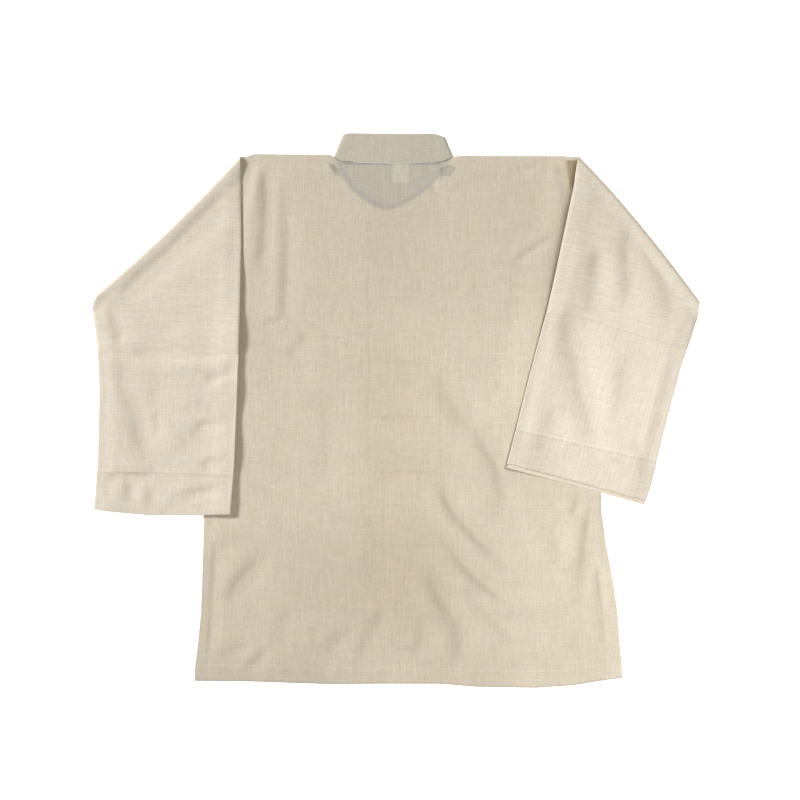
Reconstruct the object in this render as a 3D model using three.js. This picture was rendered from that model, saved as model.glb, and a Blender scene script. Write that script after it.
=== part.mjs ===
// A kung fu jacket laid flat on its front, with both sleeves folded down over its back.
// Millimetres, +Z up, X across the shoulders and Y from the hem up to the collar.
// The sizes below are measured from the point where the centre back meets the shoulder line.
// Each piece is a sheet of cloth: a net of points at the middle of the wall, moved out to both faces.
import * as THREE from "three";

// Driving dimensions
const CLOTH = 1.2; // the wall of every piece
const SEAM = 0.3; // clear space between two pieces
const LAYER = CLOTH + SEAM; // from the middle of one layer to the middle of the next
const FRONT_MID = CLOTH / 2; // the front lies on the ground
const BACK_MID = FRONT_MID + LAYER; // and the back lies on the front
const ROLL = 4; // radius of the outer layer where a sleeve turns over
const ROLL_RUN = 28; // length over which the roll settles on what is below it
const SIDE_STAY = 10; // a layer over an edge stays up for this far beyond it
const SIDE_RAMP = 26; // and reaches the ground over this length
const RIM = 3; // width of the turned edge of a sleeve's upper layer
const RIM_DROP = 0.3;
const LOWER_INSET = 0.02; // share of a sleeve's width by which its lower layer stays inside the upper one
const SLOPE_ROOM = 0.3; // a sleeve's layers lie this much further apart, as they slope
const TUBE_EDGE = 0.75; // half the height of a flattened tube at its two edges
const BACK_PUFF = 1.3; // the back stands this much off the front, away from its edges
const SLEEVE_PUFF = 1.7; // and a sleeve's upper layer off its lower one
const PRESSED_MARGIN = 14; // a folded sleeve presses the back flat from this far outside its inner edge
const PRESSED_RAMP = 22;
const SLEEVE_WIDTH = 204; // about, for the spacing of points
const LIFT_WIDTH = 24; // width of a sleeve's raised inner edge
const LONGEST_RISE = 3.3; // no layer stands further than this off the one below it
const HEM_DEPTH = 24;
const HEM_EXTRA = 0.5; // the hems are of doubled cloth, raised on the outer face
const COLLAR_HEIGHT = 43;
const COLLAR_EXTRA = 0.6; // the stand collar is doubled too

// The body's outline. Its sides by height: the slanted parting of body and sleeve, the underarm,
// the side seam, and the open vent that spreads towards the hem.
const BODY_SIDES = [
  { y: 1, left: -200, right: 242 },
  { y: -203, left: -270.3, right: 291.8 },
  { y: -217, left: -270.4, right: 294.6 },
  { y: -508, left: -272.1, right: 296 },
  { y: -558, left: -272.4, right: 302.6 },
  { y: -590, left: -273.6, right: 309.6 },
  { y: -621, left: -274.7, right: 314.6 },
  { y: -655, left: -276, right: 319.5 },
  { y: -700, left: -280.3, right: 322.6 },
  { y: -735, left: -284.6, right: 325.7 },
  { y: -762, left: -285.6, right: 328.5 },
];
// The shoulder line and, between its two neck points, the seam of the collar on the back.
const NECK_LEFT = -85.8;
const NECK_RIGHT = 84.4;
const SHOULDERS = [
  { x: -200, y: 1 },
  { x: -91.5, y: 0 },
  { x: NECK_LEFT, y: -3 },
  { x: -72.9, y: -9.3 },
  { x: -36, y: -11.6 },
  { x: 0, y: -12.2 },
  { x: 36, y: -11.6 },
  { x: 71.5, y: -9.3 },
  { x: NECK_RIGHT, y: -3 },
  { x: 94.4, y: -1.5 },
  { x: 242, y: -2 },
];
const HEM = [
  { x: -285.5, y: -751.5 },
  { x: -208.8, y: -752.2 },
  { x: -134.4, y: -754.8 },
  { x: -90, y: -756.3 },
  { x: -20, y: -755.6 },
  { x: 65.8, y: -755.8 },
  { x: 117.3, y: -760 },
  { x: 203, y: -761.5 },
  { x: 254.5, y: -757.9 },
  { x: 306, y: -750 },
  { x: 327.6, y: -747.2 },
];
const UNDERARM = { left: -203, right: -217 };
const FRONT_NECK_DEPTH = 81; // the front neck falls to this depth at the centre
const COLLAR_TOP = [
  { x: -72.9, y: 28.5 },
  { x: -66, y: 31 },
  { x: 0, y: 30.2 },
  { x: 58, y: 30.4 },
  { x: 72.9, y: 25 },
];

// The two sleeves as they lie folded. s runs down a sleeve from the shoulder point, w across it from
// its inner edge, and hang is the angle by which it leans to -X. The fold line starts at the inner
// edge and ends at the outer one, bowed by bow at its middle. edgeLift raises the inner edge off the
// back, and at the cuff the lower layer is longer than the upper one by lowerLonger.
const SLEEVES = [
  {
    name: "left",
    side: -1,
    shoulder: { x: -219.5, y: -0.7 },
    hang: 1,
    fold: { start: 2.5, end: 200, bow: 5 },
    edges: [
      { s: 0, inner: 0, outer: 197.5 },
      { s: 135, inner: -3.6, outer: 197.5 },
      { s: 200, inner: -3.4, outer: 197.5 },
      { s: 212, inner: -3.3, outer: 204.4 },
      { s: 223, inner: -3.2, outer: 206.8 },
      { s: 257, inner: -3, outer: 202.2 },
      { s: 284, inner: -2.8, outer: 198.8 },
      { s: 340, inner: -1.6, outer: 195.3 },
      { s: 440, inner: 0.6, outer: 196 },
      { s: 516, inner: 5.8, outer: 200.2 },
    ],
    seam: [
      { p: 0, s: 284 },
      { p: 1, s: 284 },
    ],
    stitch: [
      { p: 0, s: 457 },
      { p: 1, s: 456 },
    ],
    end: [
      { p: 0, s: 513 },
      { p: 0.25, s: 515 },
      { p: 0.6, s: 516 },
      { p: 0.9, s: 512 },
      { p: 1, s: 509 },
    ],
    edgeLift: 3.3,
    lowerLonger: 0,
  },
  {
    name: "right",
    side: 1,
    shoulder: { x: 261.7, y: -1.4 },
    hang: 12,
    fold: { start: 0.5, end: 168, bow: -5 },
    edges: [
      { s: 0, inner: 1, outer: 214 },
      { s: 45, inner: 4.4, outer: 214 },
      { s: 168, inner: 4.7, outer: 214 },
      { s: 190, inner: 4.4, outer: 215.7 },
      { s: 225, inner: 4, outer: 212.5 },
      { s: 261, inner: 1.8, outer: 207.8 },
      { s: 344, inner: -2.2, outer: 203.3 },
      { s: 400, inner: -3.9, outer: 201.4 },
      { s: 438, inner: -5.5, outer: 200.8 },
      { s: 462, inner: -6.5, outer: 197.8 },
    ],
    seam: [
      { p: 0, s: 228.5 },
      { p: 0.26, s: 224 },
      { p: 0.56, s: 231 },
      { p: 0.86, s: 235.4 },
      { p: 1, s: 236 },
    ],
    stitch: [
      { p: 0, s: 402 },
      { p: 1, s: 405 },
    ],
    end: [
      { p: 0, s: 451 },
      { p: 0.5, s: 455.5 },
      { p: 1, s: 462 },
    ],
    edgeLift: 1.4,
    lowerLonger: 6,
  },
];

// The largest folds, each a soft trough along a path, with a ridge beside it on the right of the
// path's direction (ridge above 0) or on its left (below 0).
const FOLDS = [
  { on: "back", width: 9, depth: 1.6, ridge: 0.7, path: [[-194, -7], [-185, -57], [-189, -114], [-196, -160]] },
  { on: "back", width: 10, depth: 1.2, ridge: -0.6, path: [[-163, -54], [-157, -107], [-159, -193], [-162, -233]] },
  { on: "back", width: 11, depth: 0.9, ridge: -0.5, path: [[66, -336], [104, -389], [113, -469]] },
  { on: "back", width: 10, depth: 1.2, ridge: -0.8, path: [[113, -389], [142, -422], [176, -498], [209, -536], [237, -565]] },
  { on: "back", width: 10, depth: 2, ridge: -1.3, path: [[61, -465], [90, -508], [113, -540], [142, -575], [166, -589]] },
  { on: "back", width: 10, depth: 2, ridge: -1.3, path: [[76, -565], [104, -598], [133, -622], [162, -633], [209, -636], [247, -655]] },
  { on: "back", width: 10, depth: 1.4, ridge: -0.8, path: [[61, -608], [76, -651], [90, -683], [94, -736]] },
  { on: "back", width: 9, depth: 1.9, ridge: 1, path: [[280, -503], [276, -540], [270, -589], [263, -646]] },
  { on: "back", width: 12, depth: 1, ridge: 0.5, path: [[-192, -579], [-220, -615], [-249, -643]] },
  { on: "left", width: 10, depth: 1.7, ridge: 0, path: [[-242, -39], [-289, -100], [-325, -136], [-370, -174], [-392, -200]] },
  { on: "left", width: 9, depth: 1.3, ridge: -0.8, path: [[-392, -329], [-377, -360], [-365, -400], [-357, -443]] },
  { on: "left", width: 11, depth: 0.9, ridge: 0.5, path: [[-270, -379], [-299, -408], [-327, -436]] },
  { on: "right", width: 9, depth: 1.6, ridge: -0.9, path: [[279, -139], [276, -172], [273, -229]] },
  { on: "right", width: 9, depth: 1.7, ridge: -0.9, path: [[252, -253], [247, -293], [252, -336], [256, -379], [269, -436]] },
  { on: "right", width: 10, depth: 1.6, ridge: 0.8, path: [[337, -96], [326, -122], [326, -153], [325, -193], [316, -239]] },
  { on: "right", width: 10, depth: 1.5, ridge: -0.8, path: [[359, -132], [373, -164], [383, -189], [390, -243]] },
  { on: "right", width: 8, depth: 1.2, ridge: 0.6, path: [[402, -286], [380, -357], [369, -408], [359, -429]] },
];

const lerp = THREE.MathUtils.lerp;
const smooth = (x) => THREE.MathUtils.smoothstep(x, 0, 1);

// The value of column out of a table at the place at of its column key, straight between rows.
function look(table, key, out, at) {
  const rising = table[table.length - 1][key] > table[0][key];
  const past = table.findIndex((row) => (rising ? row[key] > at : row[key] < at));
  if (past === 0) return table[0][out];
  if (past < 0) return table[table.length - 1][out];
  const [a, b] = [table[past - 1], table[past]];
  return lerp(a[out], b[out], (at - a[key]) / (b[key] - a[key]));
}

// A list of numbers from 0 to 1 with its own step in each band.
function spaced(bands) {
  const list = [0];
  for (const { to, steps } of bands) {
    const from = list[list.length - 1];
    for (let i = 1; i <= steps; i++) list.push(lerp(from, to, i / steps));
  }
  return list;
}

// How far the folds named on raise (above 0) or sink (below 0) the cloth at x, y.
function foldsAt(on, x, y) {
  let rise = 0;
  for (const fold of FOLDS) {
    if (fold.on !== on) continue;
    let best = { distance: Infinity };
    const runs = fold.path.length - 1;
    for (let i = 0; i < runs; i++) {
      const [[ax, ay], [bx, by]] = [fold.path[i], fold.path[i + 1]];
      const [dx, dy] = [bx - ax, by - ay];
      const t = THREE.MathUtils.clamp(((x - ax) * dx + (y - ay) * dy) / (dx * dx + dy * dy), 0, 1);
      const [ox, oy] = [x - ax - t * dx, y - ay - t * dy];
      const distance = Math.hypot(ox, oy);
      if (distance < best.distance) best = { distance, along: (i + t) / runs, right: dy * ox - dx * oy > 0 };
    }
    const taper = smooth(Math.min(best.along, 1 - best.along) / 0.3 + 0.15);
    const across = best.distance / fold.width;
    const offset = (best.right === fold.ridge > 0 ? across : -across) - 1.7;
    rise += taper * (Math.abs(fold.ridge) * Math.exp(-offset * offset) - fold.depth * Math.exp(-across * across));
  }
  return rise;
}

// A rise that never goes below 0 or above the most that two layers stand apart.
const settled = (rise) => Math.min((rise + Math.hypot(rise, 0.4)) / 2, LONGEST_RISE);

// The body: a runs from its left side to its right one, b from the shoulder line to the hem.
const leftAt = (y) => look(BODY_SIDES, "y", "left", y);
const rightAt = (y) => look(BODY_SIDES, "y", "right", y);
const topAt = (a) => look(SHOULDERS, "x", "y", lerp(BODY_SIDES[0].left, BODY_SIDES[0].right, a));
const hemAt = (a) => look(HEM, "x", "y", lerp(HEM[0].x, HEM[HEM.length - 1].x, a));
const acrossAt = ({ x, y }) => (x - leftAt(y)) / (rightAt(y) - leftAt(y));

function bodyPlan(a, b, top = topAt(a)) {
  const y = lerp(top, hemAt(a), b);
  return { x: lerp(leftAt(y), rightAt(y), a), y };
}

// How much of the back at x, y is pressed flat by the folded sleeves: 0 in the open, 1 below one.
function pressed(x, y) {
  const share = SLEEVES.map((sleeve) => {
    const angle = THREE.MathUtils.degToRad(sleeve.hang);
    const [dx, dy] = [x - sleeve.shoulder.x, y - sleeve.shoulder.y];
    const s = -dx * Math.sin(angle) - dy * Math.cos(angle);
    const w = sleeve.side * (dx * Math.cos(angle) - dy * Math.sin(angle));
    const reach = Math.max(...sleeve.end.map((row) => row.s)) + sleeve.lowerLonger;
    return smooth((w + PRESSED_MARGIN) / PRESSED_RAMP) * smooth((reach - s) / PRESSED_RAMP + 1);
  });
  return Math.max(...share);
}

function backHeight(x, y) {
  const a = acrossAt({ x, y });
  const b = (y - topAt(a)) / (hemAt(a) - topAt(a));
  if (a <= 0 || a >= 1 || b <= 0 || b >= 1) return BACK_MID;
  const off = smooth(Math.min(a, 1 - a) / 0.06) * smooth(Math.min(b, 1 - b) / 0.04);
  return BACK_MID + off * (1 - pressed(x, y)) * settled(BACK_PUFF + foldsAt("back", x, y));
}

// A sleeve as it lies folded, p from its inner edge (0) to its outer one (1).
function sleevePlan(sleeve, s, p) {
  const w = lerp(look(sleeve.edges, "s", "inner", s), look(sleeve.edges, "s", "outer", s), p);
  const angle = THREE.MathUtils.degToRad(sleeve.hang);
  return {
    x: sleeve.shoulder.x - s * Math.sin(angle) + sleeve.side * w * Math.cos(angle),
    y: sleeve.shoulder.y - s * Math.cos(angle) - sleeve.side * w * Math.sin(angle),
  };
}

const foldAt = ({ fold }, p) => lerp(fold.start, fold.end, p) + fold.bow * 4 * p * (1 - p);
const foldCrest = (sleeve, p) => sleevePlan(sleeve, foldAt(sleeve, p), p);

// The share of a step down the sleeve that leads straight away from its fold line.
function foldSlope(sleeve) {
  const along = sleeve.fold.end - sleeve.fold.start;
  const across = look(sleeve.edges, "s", "outer", sleeve.fold.end);
  return across / Math.hypot(along, across);
}

// The two layers of a folded sleeve at x, y: the lower one lies on the body or on the ground.
function sleeveHeights(sleeve, s, p) {
  const { x, y } = sleevePlan(sleeve, s, p);
  const beyond = sleeve.side < 0 ? leftAt(y) - x : x - rightAt(y);
  const overBody = smooth(1 - (beyond - SIDE_STAY) / SIDE_RAMP);
  const overBase = smooth(1 - (UNDERARM[sleeve.name] - y - SIDE_STAY) / SIDE_RAMP);
  const cover = Math.max(overBody, overBase);
  const near = (p * SLEEVE_WIDTH) / LIFT_WIDTH;
  const lift = sleeve.edgeLift * Math.exp(-near * near) * smooth((s - 10) / 60);
  const lower = FRONT_MID + cover * (backHeight(x, y) - FRONT_MID + LAYER) + lift;
  const across = smooth(Math.min(p, 1 - p) / 0.16);
  const upper = lower + LAYER + SLOPE_ROOM + across * settled(SLEEVE_PUFF + foldsAt(sleeve.name, x, y));
  return { lower, upper };
}

// Stations of an upper sleeve, from the parting of body and sleeve over the ground, up round the roll
// and down the folded sleeve to the joint seam. run is the part of the way on the ground, turn the
// angle round the roll, and down the part of the way from the roll to the seam.
const GROUND_STATIONS = [0, 0.35, 0.7].map((run) => ({ run }));
const TURN_STATIONS = [-90, -60, -30, 0, 30, 60, 90].map((turn) => ({ turn }));
const downStations = (count, settle = [0.03, 0.07, 0.11]) => [
  ...settle.map((down) => ({ down })),
  ...Array.from({ length: count }, (_, i) => ({ down: lerp(settle[settle.length - 1], 1, (i + 1) / count) })),
];

// One point of an upper sleeve: layer is "front", which comes out on top, or "back", nested in it.
function upperSleevePoint(sleeve, layer, p, station, parting) {
  const isFront = layer === "front";
  const ground = isFront ? FRONT_MID : BACK_MID;
  if (station.run === 0) return { ...parting, z: ground };
  const inset = isFront ? 0 : LOWER_INSET;
  const q = 0.5 + (p - 0.5) * (1 - 2 * inset);
  const slope = foldSlope(sleeve);
  const foldS = foldAt(sleeve, q);
  const crest = foldCrest(sleeve, q);
  const ends = [foldCrest(sleeve, 0), foldCrest(sleeve, 1)];
  const [foldX, foldY] = [ends[1].x - ends[0].x, ends[1].y - ends[0].y];
  const away = Math.abs((parting.x - crest.x) * foldY - (parting.y - crest.y) * foldX) / Math.hypot(foldX, foldY);
  // The point of the ground layer that lies inside by this distance, square to the fold line.
  const groundPoint = (distance) => ({
    x: lerp(crest.x, parting.x, distance / away),
    y: lerp(crest.y, parting.y, distance / away),
  });
  if ("run" in station) return { ...groundPoint(lerp(away, ROLL, station.run)), z: ground };
  const radius = isFront ? ROLL : ROLL - LAYER;
  const turned = THREE.MathUtils.degToRad(station.turn ?? 90);
  const inside = ROLL - radius * Math.cos(turned);
  const rollZ = FRONT_MID + ROLL + radius * Math.sin(turned);
  if (station.turn < 0) return { ...groundPoint(inside), z: rollZ };
  const start = foldS + inside / slope;
  const seamS = look(sleeve.seam, "p", "s", q) - (isFront ? SEAM / 2 : SEAM);
  const s = lerp(start, seamS, station.down ?? 0);
  const { lower, upper } = sleeveHeights(sleeve, s, q);
  const settle = smooth(((s - start) * slope) / ROLL_RUN);
  const rim = isFront && (p === 0 || p === 1) ? RIM_DROP : 0;
  return { ...sleevePlan(sleeve, s, q), z: lerp(rollZ, isFront ? upper : lower, settle) - rim * settle };
}

// A sheet of cloth, gathered from patches of a net whose shared points are welded.
class Cloth {
  points = [];
  quads = [];
  indexOf = new Map();

  vertex({ x, y, z, extra = 0 }) {
    const key = [x, y, z].map((v) => v.toFixed(3)).join();
    if (!this.indexOf.has(key)) {
      this.indexOf.set(key, this.points.length);
      this.points.push({ at: new THREE.Vector3(x, y, z), extra });
    }
    return this.indexOf.get(key);
  }

  // A patch of columns by rows: its outer face is up where columns run to the right and rows down.
  patch(columns, rows, pointAt, { flip = false, closed = false } = {}) {
    const net = columns.map((u) => rows.map((v) => this.vertex(pointAt(u, v))));
    if (closed) net.push(net[0]);
    for (let i = 0; i + 1 < net.length; i++)
      for (let j = 0; j + 1 < rows.length; j++) {
        const quad = [net[i][j], net[i][j + 1], net[i + 1][j + 1], net[i + 1][j]];
        this.quads.push(flip ? quad.reverse() : quad);
      }
    return this;
  }

  geometry() {
    const normals = this.points.map(() => new THREE.Vector3());
    for (const quad of this.quads) {
      const [a, b, c, d] = quad.map((i) => this.points[i].at);
      const normal = new THREE.Vector3().subVectors(c, a).cross(new THREE.Vector3().subVectors(d, b));
      for (const i of quad) normals[i].add(normal);
    }
    const moved = (outwards) =>
      this.points.flatMap(({ at, extra }, i) => {
        const far = outwards ? CLOTH / 2 + extra : -CLOTH / 2;
        return at.clone().addScaledVector(normals[i].clone().normalize(), far).toArray();
      });
    const inner = this.points.length;
    const faces = [];
    const open = new Map();
    for (const [a, b, c, d] of this.quads) {
      faces.push(a, b, c, a, c, d);
      faces.push(inner + a, inner + c, inner + b, inner + a, inner + d, inner + c);
      for (const [from, to] of [[a, b], [b, c], [c, d], [d, a]])
        if (!open.delete(`${to},${from}`)) open.set(`${from},${to}`, [from, to]);
    }
    for (const [from, to] of open.values())
      faces.push(to, from, inner + from, to, inner + from, inner + to);
    const geometry = new THREE.BufferGeometry();
    const positions = new Float32Array([...moved(true), ...moved(false)]);
    geometry.setAttribute("position", new THREE.BufferAttribute(positions, 3));
    geometry.setIndex(faces);
    geometry.computeVertexNormals();
    return geometry;
  }
}

const ECRU = new THREE.MeshStandardMaterial({ color: 0xd6cab5, roughness: 0.95, metalness: 0 });
const jacket = new THREE.Group();

function add(name, cloth) {
  const mesh = new THREE.Mesh(cloth.geometry(), ECRU.clone());
  mesh.name = name;
  jacket.add(mesh);
}

// Rows of the body down to an underarm, which are an upper sleeve's places across its width.
const underarmB = (name, a) => (UNDERARM[name] - topAt(a)) / (hemAt(a) - topAt(a));
const UNDERARM_B = { left: underarmB("left", 0), right: underarmB("right", 1) };
const HEM_B = 1 - HEM_DEPTH / 752;
const BACK_ROWS = spaced([
  { to: 0.004, steps: 1 },
  { to: UNDERARM_B.left - 0.004, steps: 7 },
  { to: UNDERARM_B.left, steps: 1 },
  { to: UNDERARM_B.right - 0.004, steps: 1 },
  { to: UNDERARM_B.right, steps: 1 },
  { to: 0.43, steps: 4 },
  { to: 0.88, steps: 20 },
  { to: HEM_B, steps: 3 },
  { to: HEM_B + 0.003, steps: 1 },
  { to: 1, steps: 1 },
]);
const NECK_A = [NECK_LEFT, -72.9, 71.5, NECK_RIGHT].map((x) => acrossAt({ x, y: 0 }));
const BACK_COLUMNS = spaced([
  { to: 0.08, steps: 3 },
  { to: NECK_A[0], steps: 7 },
  { to: NECK_A[1], steps: 1 },
  { to: NECK_A[2], steps: 7 },
  { to: NECK_A[3], steps: 1 },
  { to: 0.96, steps: 13 },
  { to: 1, steps: 2 },
]);
// Places across a sleeve, with its two turned edges, and along the front neck from side to centre.
const SLEEVE_ACROSS = spaced([
  { to: RIM / SLEEVE_WIDTH, steps: 1 },
  { to: 1 - RIM / SLEEVE_WIDTH, steps: 10 },
  { to: 1, steps: 1 },
]);
const NECK_STEPS = spaced([
  { to: 0.9, steps: 7 },
  { to: 1, steps: 1 },
]);

// The back, with the back halves of both upper sleeves cut in one with it.
function back() {
  const cloth = new Cloth();
  const onBack = (a, b) => {
    const { x, y } = bodyPlan(a, b);
    return { x, y, z: backHeight(x, y), extra: b > HEM_B + 0.001 ? HEM_EXTRA : 0 };
  };
  cloth.patch(BACK_COLUMNS, BACK_ROWS, onBack);
  const stations = [...GROUND_STATIONS, ...TURN_STATIONS, ...downStations(5)];
  for (const sleeve of SLEEVES) {
    const [a, underarm] = [sleeve.side < 0 ? 0 : 1, UNDERARM_B[sleeve.name]];
    const rows = BACK_ROWS.filter((b) => b <= underarm);
    const point = (station, b) => upperSleevePoint(sleeve, "back", b / underarm, station, bodyPlan(a, b));
    cloth.patch(stations, rows, point, { flip: sleeve.side < 0 });
  }
  return cloth;
}

// A point of the front neck, from the neck point (0) to the centre front (1), moved out by gap.
function neckPoint(side, t, gap = 0) {
  const turn = (t * Math.PI) / 2;
  const neck = side < 0 ? NECK_LEFT : NECK_RIGHT;
  return {
    x: lerp(side * SEAM, neck + side * gap, Math.cos(turn)),
    y: lerp(-3, -FRONT_NECK_DEPTH - gap, Math.sin(turn)),
  };
}

// A front half, flat on the ground up to the centre front, with the front half of its upper sleeve.
function front(sleeve) {
  const cloth = new Cloth();
  const { side, name } = sleeve;
  const outer = side < 0 ? 0 : 1;
  const underarm = UNDERARM_B[name];
  const shoulderEnd = acrossAt(neckPoint(side, 0, SEAM));
  const columns = [
    ...[0, 0.35, 0.7].map((v) => lerp(outer, shoulderEnd, v)).map((a) => ({ a, top: topAt(a) })),
    ...NECK_STEPS.map((t) => neckPoint(side, t, SEAM)).map((at) => ({ a: acrossAt(at), top: at.y })),
  ];
  const rows = [
    ...SLEEVE_ACROSS.map((p) => p * underarm),
    ...spaced([{ to: 1, steps: 6 }]).slice(1).map((v) => lerp(underarm, 1, v)),
  ];
  const onFront = ({ a, top }, b) => ({ ...bodyPlan(a, b, top), z: FRONT_MID });
  cloth.patch(columns, rows, onFront, { flip: side < 0 });
  const stations = [...GROUND_STATIONS, ...TURN_STATIONS, ...downStations(9)];
  const point = (station, p) => upperSleevePoint(sleeve, "front", p, station, bodyPlan(outer, p * underarm));
  cloth.patch(stations, SLEEVE_ACROSS, point, { flip: side > 0 });
  return cloth;
}

// A lower sleeve: a flattened tube from the joint seam to the cuff's end.
function lowerSleeve(sleeve) {
  const inside = SLEEVE_ACROSS.slice(1, -1);
  const nearEdge = TUBE_EDGE / SLEEVE_WIDTH;
  const ring = [
    ...inside.map((p) => ({ p, layer: "upper" })),
    { p: 1 - nearEdge, layer: "upper" },
    { p: 1, layer: "edge" },
    { p: 1 - nearEdge, layer: "lower" },
    ...[...inside].reverse().map((p) => ({ p, layer: "lower" })),
    { p: nearEdge, layer: "lower" },
    { p: 0, layer: "edge" },
    { p: nearEdge, layer: "upper" },
  ];
  const along = spaced([
    { to: 0.72, steps: 9 },
    { to: 1, steps: 1 },
  ]);
  const stations = [...along.map((v) => ({ v, cuff: 0 })), ...[0.03, 0.5, 1].map((v) => ({ v, cuff: 1 }))];
  const point = ({ p, layer }, { v, cuff }) => {
    const seam = look(sleeve.seam, "p", "s", p) + SEAM / 2;
    const stitch = look(sleeve.stitch, "p", "s", p);
    const s = cuff ? lerp(stitch, look(sleeve.end, "p", "s", p), v) : lerp(seam, stitch, v);
    const { lower, upper } = sleeveHeights(sleeve, s, p);
    const z = { upper, lower, edge: (lower + upper) / 2 }[layer];
    const longer = cuff && layer === "lower" ? v * sleeve.lowerLonger : 0;
    return { ...sleevePlan(sleeve, s + longer, p), z, extra: cuff && layer === "upper" ? HEM_EXTRA : 0 };
  };
  return new Cloth().patch(ring, stations, point, { flip: sleeve.side < 0, closed: true });
}

// The stand collar: a ring folded flat at its two ends. Its back half stands above the shoulder line,
// level with the back, and its front halves lie under it and in the front neck, on the ground.
function collar() {
  const backHalf = spaced([{ to: 1, steps: 12 }]).map((t) => ({ half: "back", t }));
  const ring = [
    ...[...NECK_STEPS].reverse().map((t) => ({ half: "front", side: -1, t })),
    { half: "edge", side: -1 },
    ...backHalf,
    { half: "edge", side: 1 },
    ...NECK_STEPS.map((t) => ({ half: "front", side: 1, t })),
  ];
  const ends = {
    "-1": { base: NECK_LEFT, baseY: -3, top: COLLAR_TOP[0].x, topY: COLLAR_TOP[0].y },
    1: { base: NECK_RIGHT, baseY: -3, top: COLLAR_TOP[4].x, topY: COLLAR_TOP[4].y },
  };
  const point = ({ half, side, t }, h) => {
    if (half === "back") {
      const inset = TUBE_EDGE * (1 - 2 * t);
      const base = { x: lerp(NECK_LEFT, NECK_RIGHT, t) + inset };
      base.y = look(SHOULDERS, "x", "y", base.x) + SEAM;
      const top = { x: lerp(ends[-1].top, ends[1].top, t) + inset };
      top.y = look(COLLAR_TOP, "x", "y", top.x);
      return { x: lerp(base.x, top.x, h), y: lerp(base.y, top.y, h), z: BACK_MID, extra: COLLAR_EXTRA };
    }
    const end = ends[side];
    const edge = { x: lerp(end.base, end.top, h), y: lerp(end.baseY, end.topY, h) };
    if (half === "edge") return { ...edge, z: (FRONT_MID + BACK_MID) / 2 };
    const base = neckPoint(side, t, -TUBE_EDGE * Math.cos((t * Math.PI) / 2));
    const turn = (t * Math.PI) / 2;
    const top = {
      x: lerp(side * SEAM, edge.x - side * TUBE_EDGE, Math.cos(turn)),
      y: lerp(edge.y, COLLAR_HEIGHT - FRONT_NECK_DEPTH, Math.sin(turn)),
    };
    return { x: lerp(base.x, top.x, h), y: lerp(base.y, top.y, h), z: FRONT_MID };
  };
  return new Cloth().patch(ring, [1, 0.5, 0], point);
}

add("back", back());
for (const sleeve of SLEEVES) {
  add(`front_${sleeve.name}`, front(sleeve));
  add(`sleeve_${sleeve.name}`, lowerSleeve(sleeve));
}
add("collar", collar());

// The part's origin is the middle of the jacket's own box, on the ground.
const box = new THREE.Box3().setFromObject(jacket);
const middle = box.getCenter(new THREE.Vector3());
jacket.position.set(-middle.x, -middle.y, -box.min.z);

const part = new THREE.Group();
part.add(jacket);
export default part;
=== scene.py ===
"""Makes a kung fu jacket of slubbed linen, laid flat on its front with both sleeves folded down over
its back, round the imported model. Metres, +Z up, +Y towards the collar."""

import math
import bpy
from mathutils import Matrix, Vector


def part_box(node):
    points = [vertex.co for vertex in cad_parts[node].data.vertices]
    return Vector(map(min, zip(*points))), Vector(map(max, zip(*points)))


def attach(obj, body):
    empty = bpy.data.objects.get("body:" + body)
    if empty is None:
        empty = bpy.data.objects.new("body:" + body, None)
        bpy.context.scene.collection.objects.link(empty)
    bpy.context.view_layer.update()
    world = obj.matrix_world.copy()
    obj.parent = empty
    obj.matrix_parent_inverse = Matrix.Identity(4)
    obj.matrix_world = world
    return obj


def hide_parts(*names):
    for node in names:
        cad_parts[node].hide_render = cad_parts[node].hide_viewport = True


bl_info = {
    "name": "Folded kung fu jacket",
    "version": (1, 0, 0),
    "blender": (4, 5, 0),
    "location": "View3D > Sidebar > Jacket",
    "description": "Builds a stand-collar linen jacket, its sewing, its cloth and a plain stage",
    "category": "Object",
}

import bpy
import numpy as np
from bpy.props import FloatProperty, FloatVectorProperty, PointerProperty
from mathutils import Vector

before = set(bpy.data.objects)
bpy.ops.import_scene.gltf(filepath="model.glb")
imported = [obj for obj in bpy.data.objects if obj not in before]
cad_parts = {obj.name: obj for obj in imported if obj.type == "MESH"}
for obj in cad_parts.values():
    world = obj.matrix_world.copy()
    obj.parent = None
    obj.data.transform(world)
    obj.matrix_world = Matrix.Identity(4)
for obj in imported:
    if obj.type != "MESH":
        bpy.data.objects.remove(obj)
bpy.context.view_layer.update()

# ---------------------------------------------------------------- sizes
# Places are measured from the neck: where the centre back meets the shoulder line.
COLLAR_LOW, COLLAR_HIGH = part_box("collar")
COLLAR_ABOVE = 0.0309  # how far the collar stands beyond the shoulder line
COLLAR_MIDDLE = 0.00075  # how far the neck lies to the right of the collar's own middle
NECK_X = (COLLAR_LOW[0] + COLLAR_HIGH[0]) / 2 + COLLAR_MIDDLE
NECK_Y = COLLAR_HIGH[1] - COLLAR_ABOVE

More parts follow.
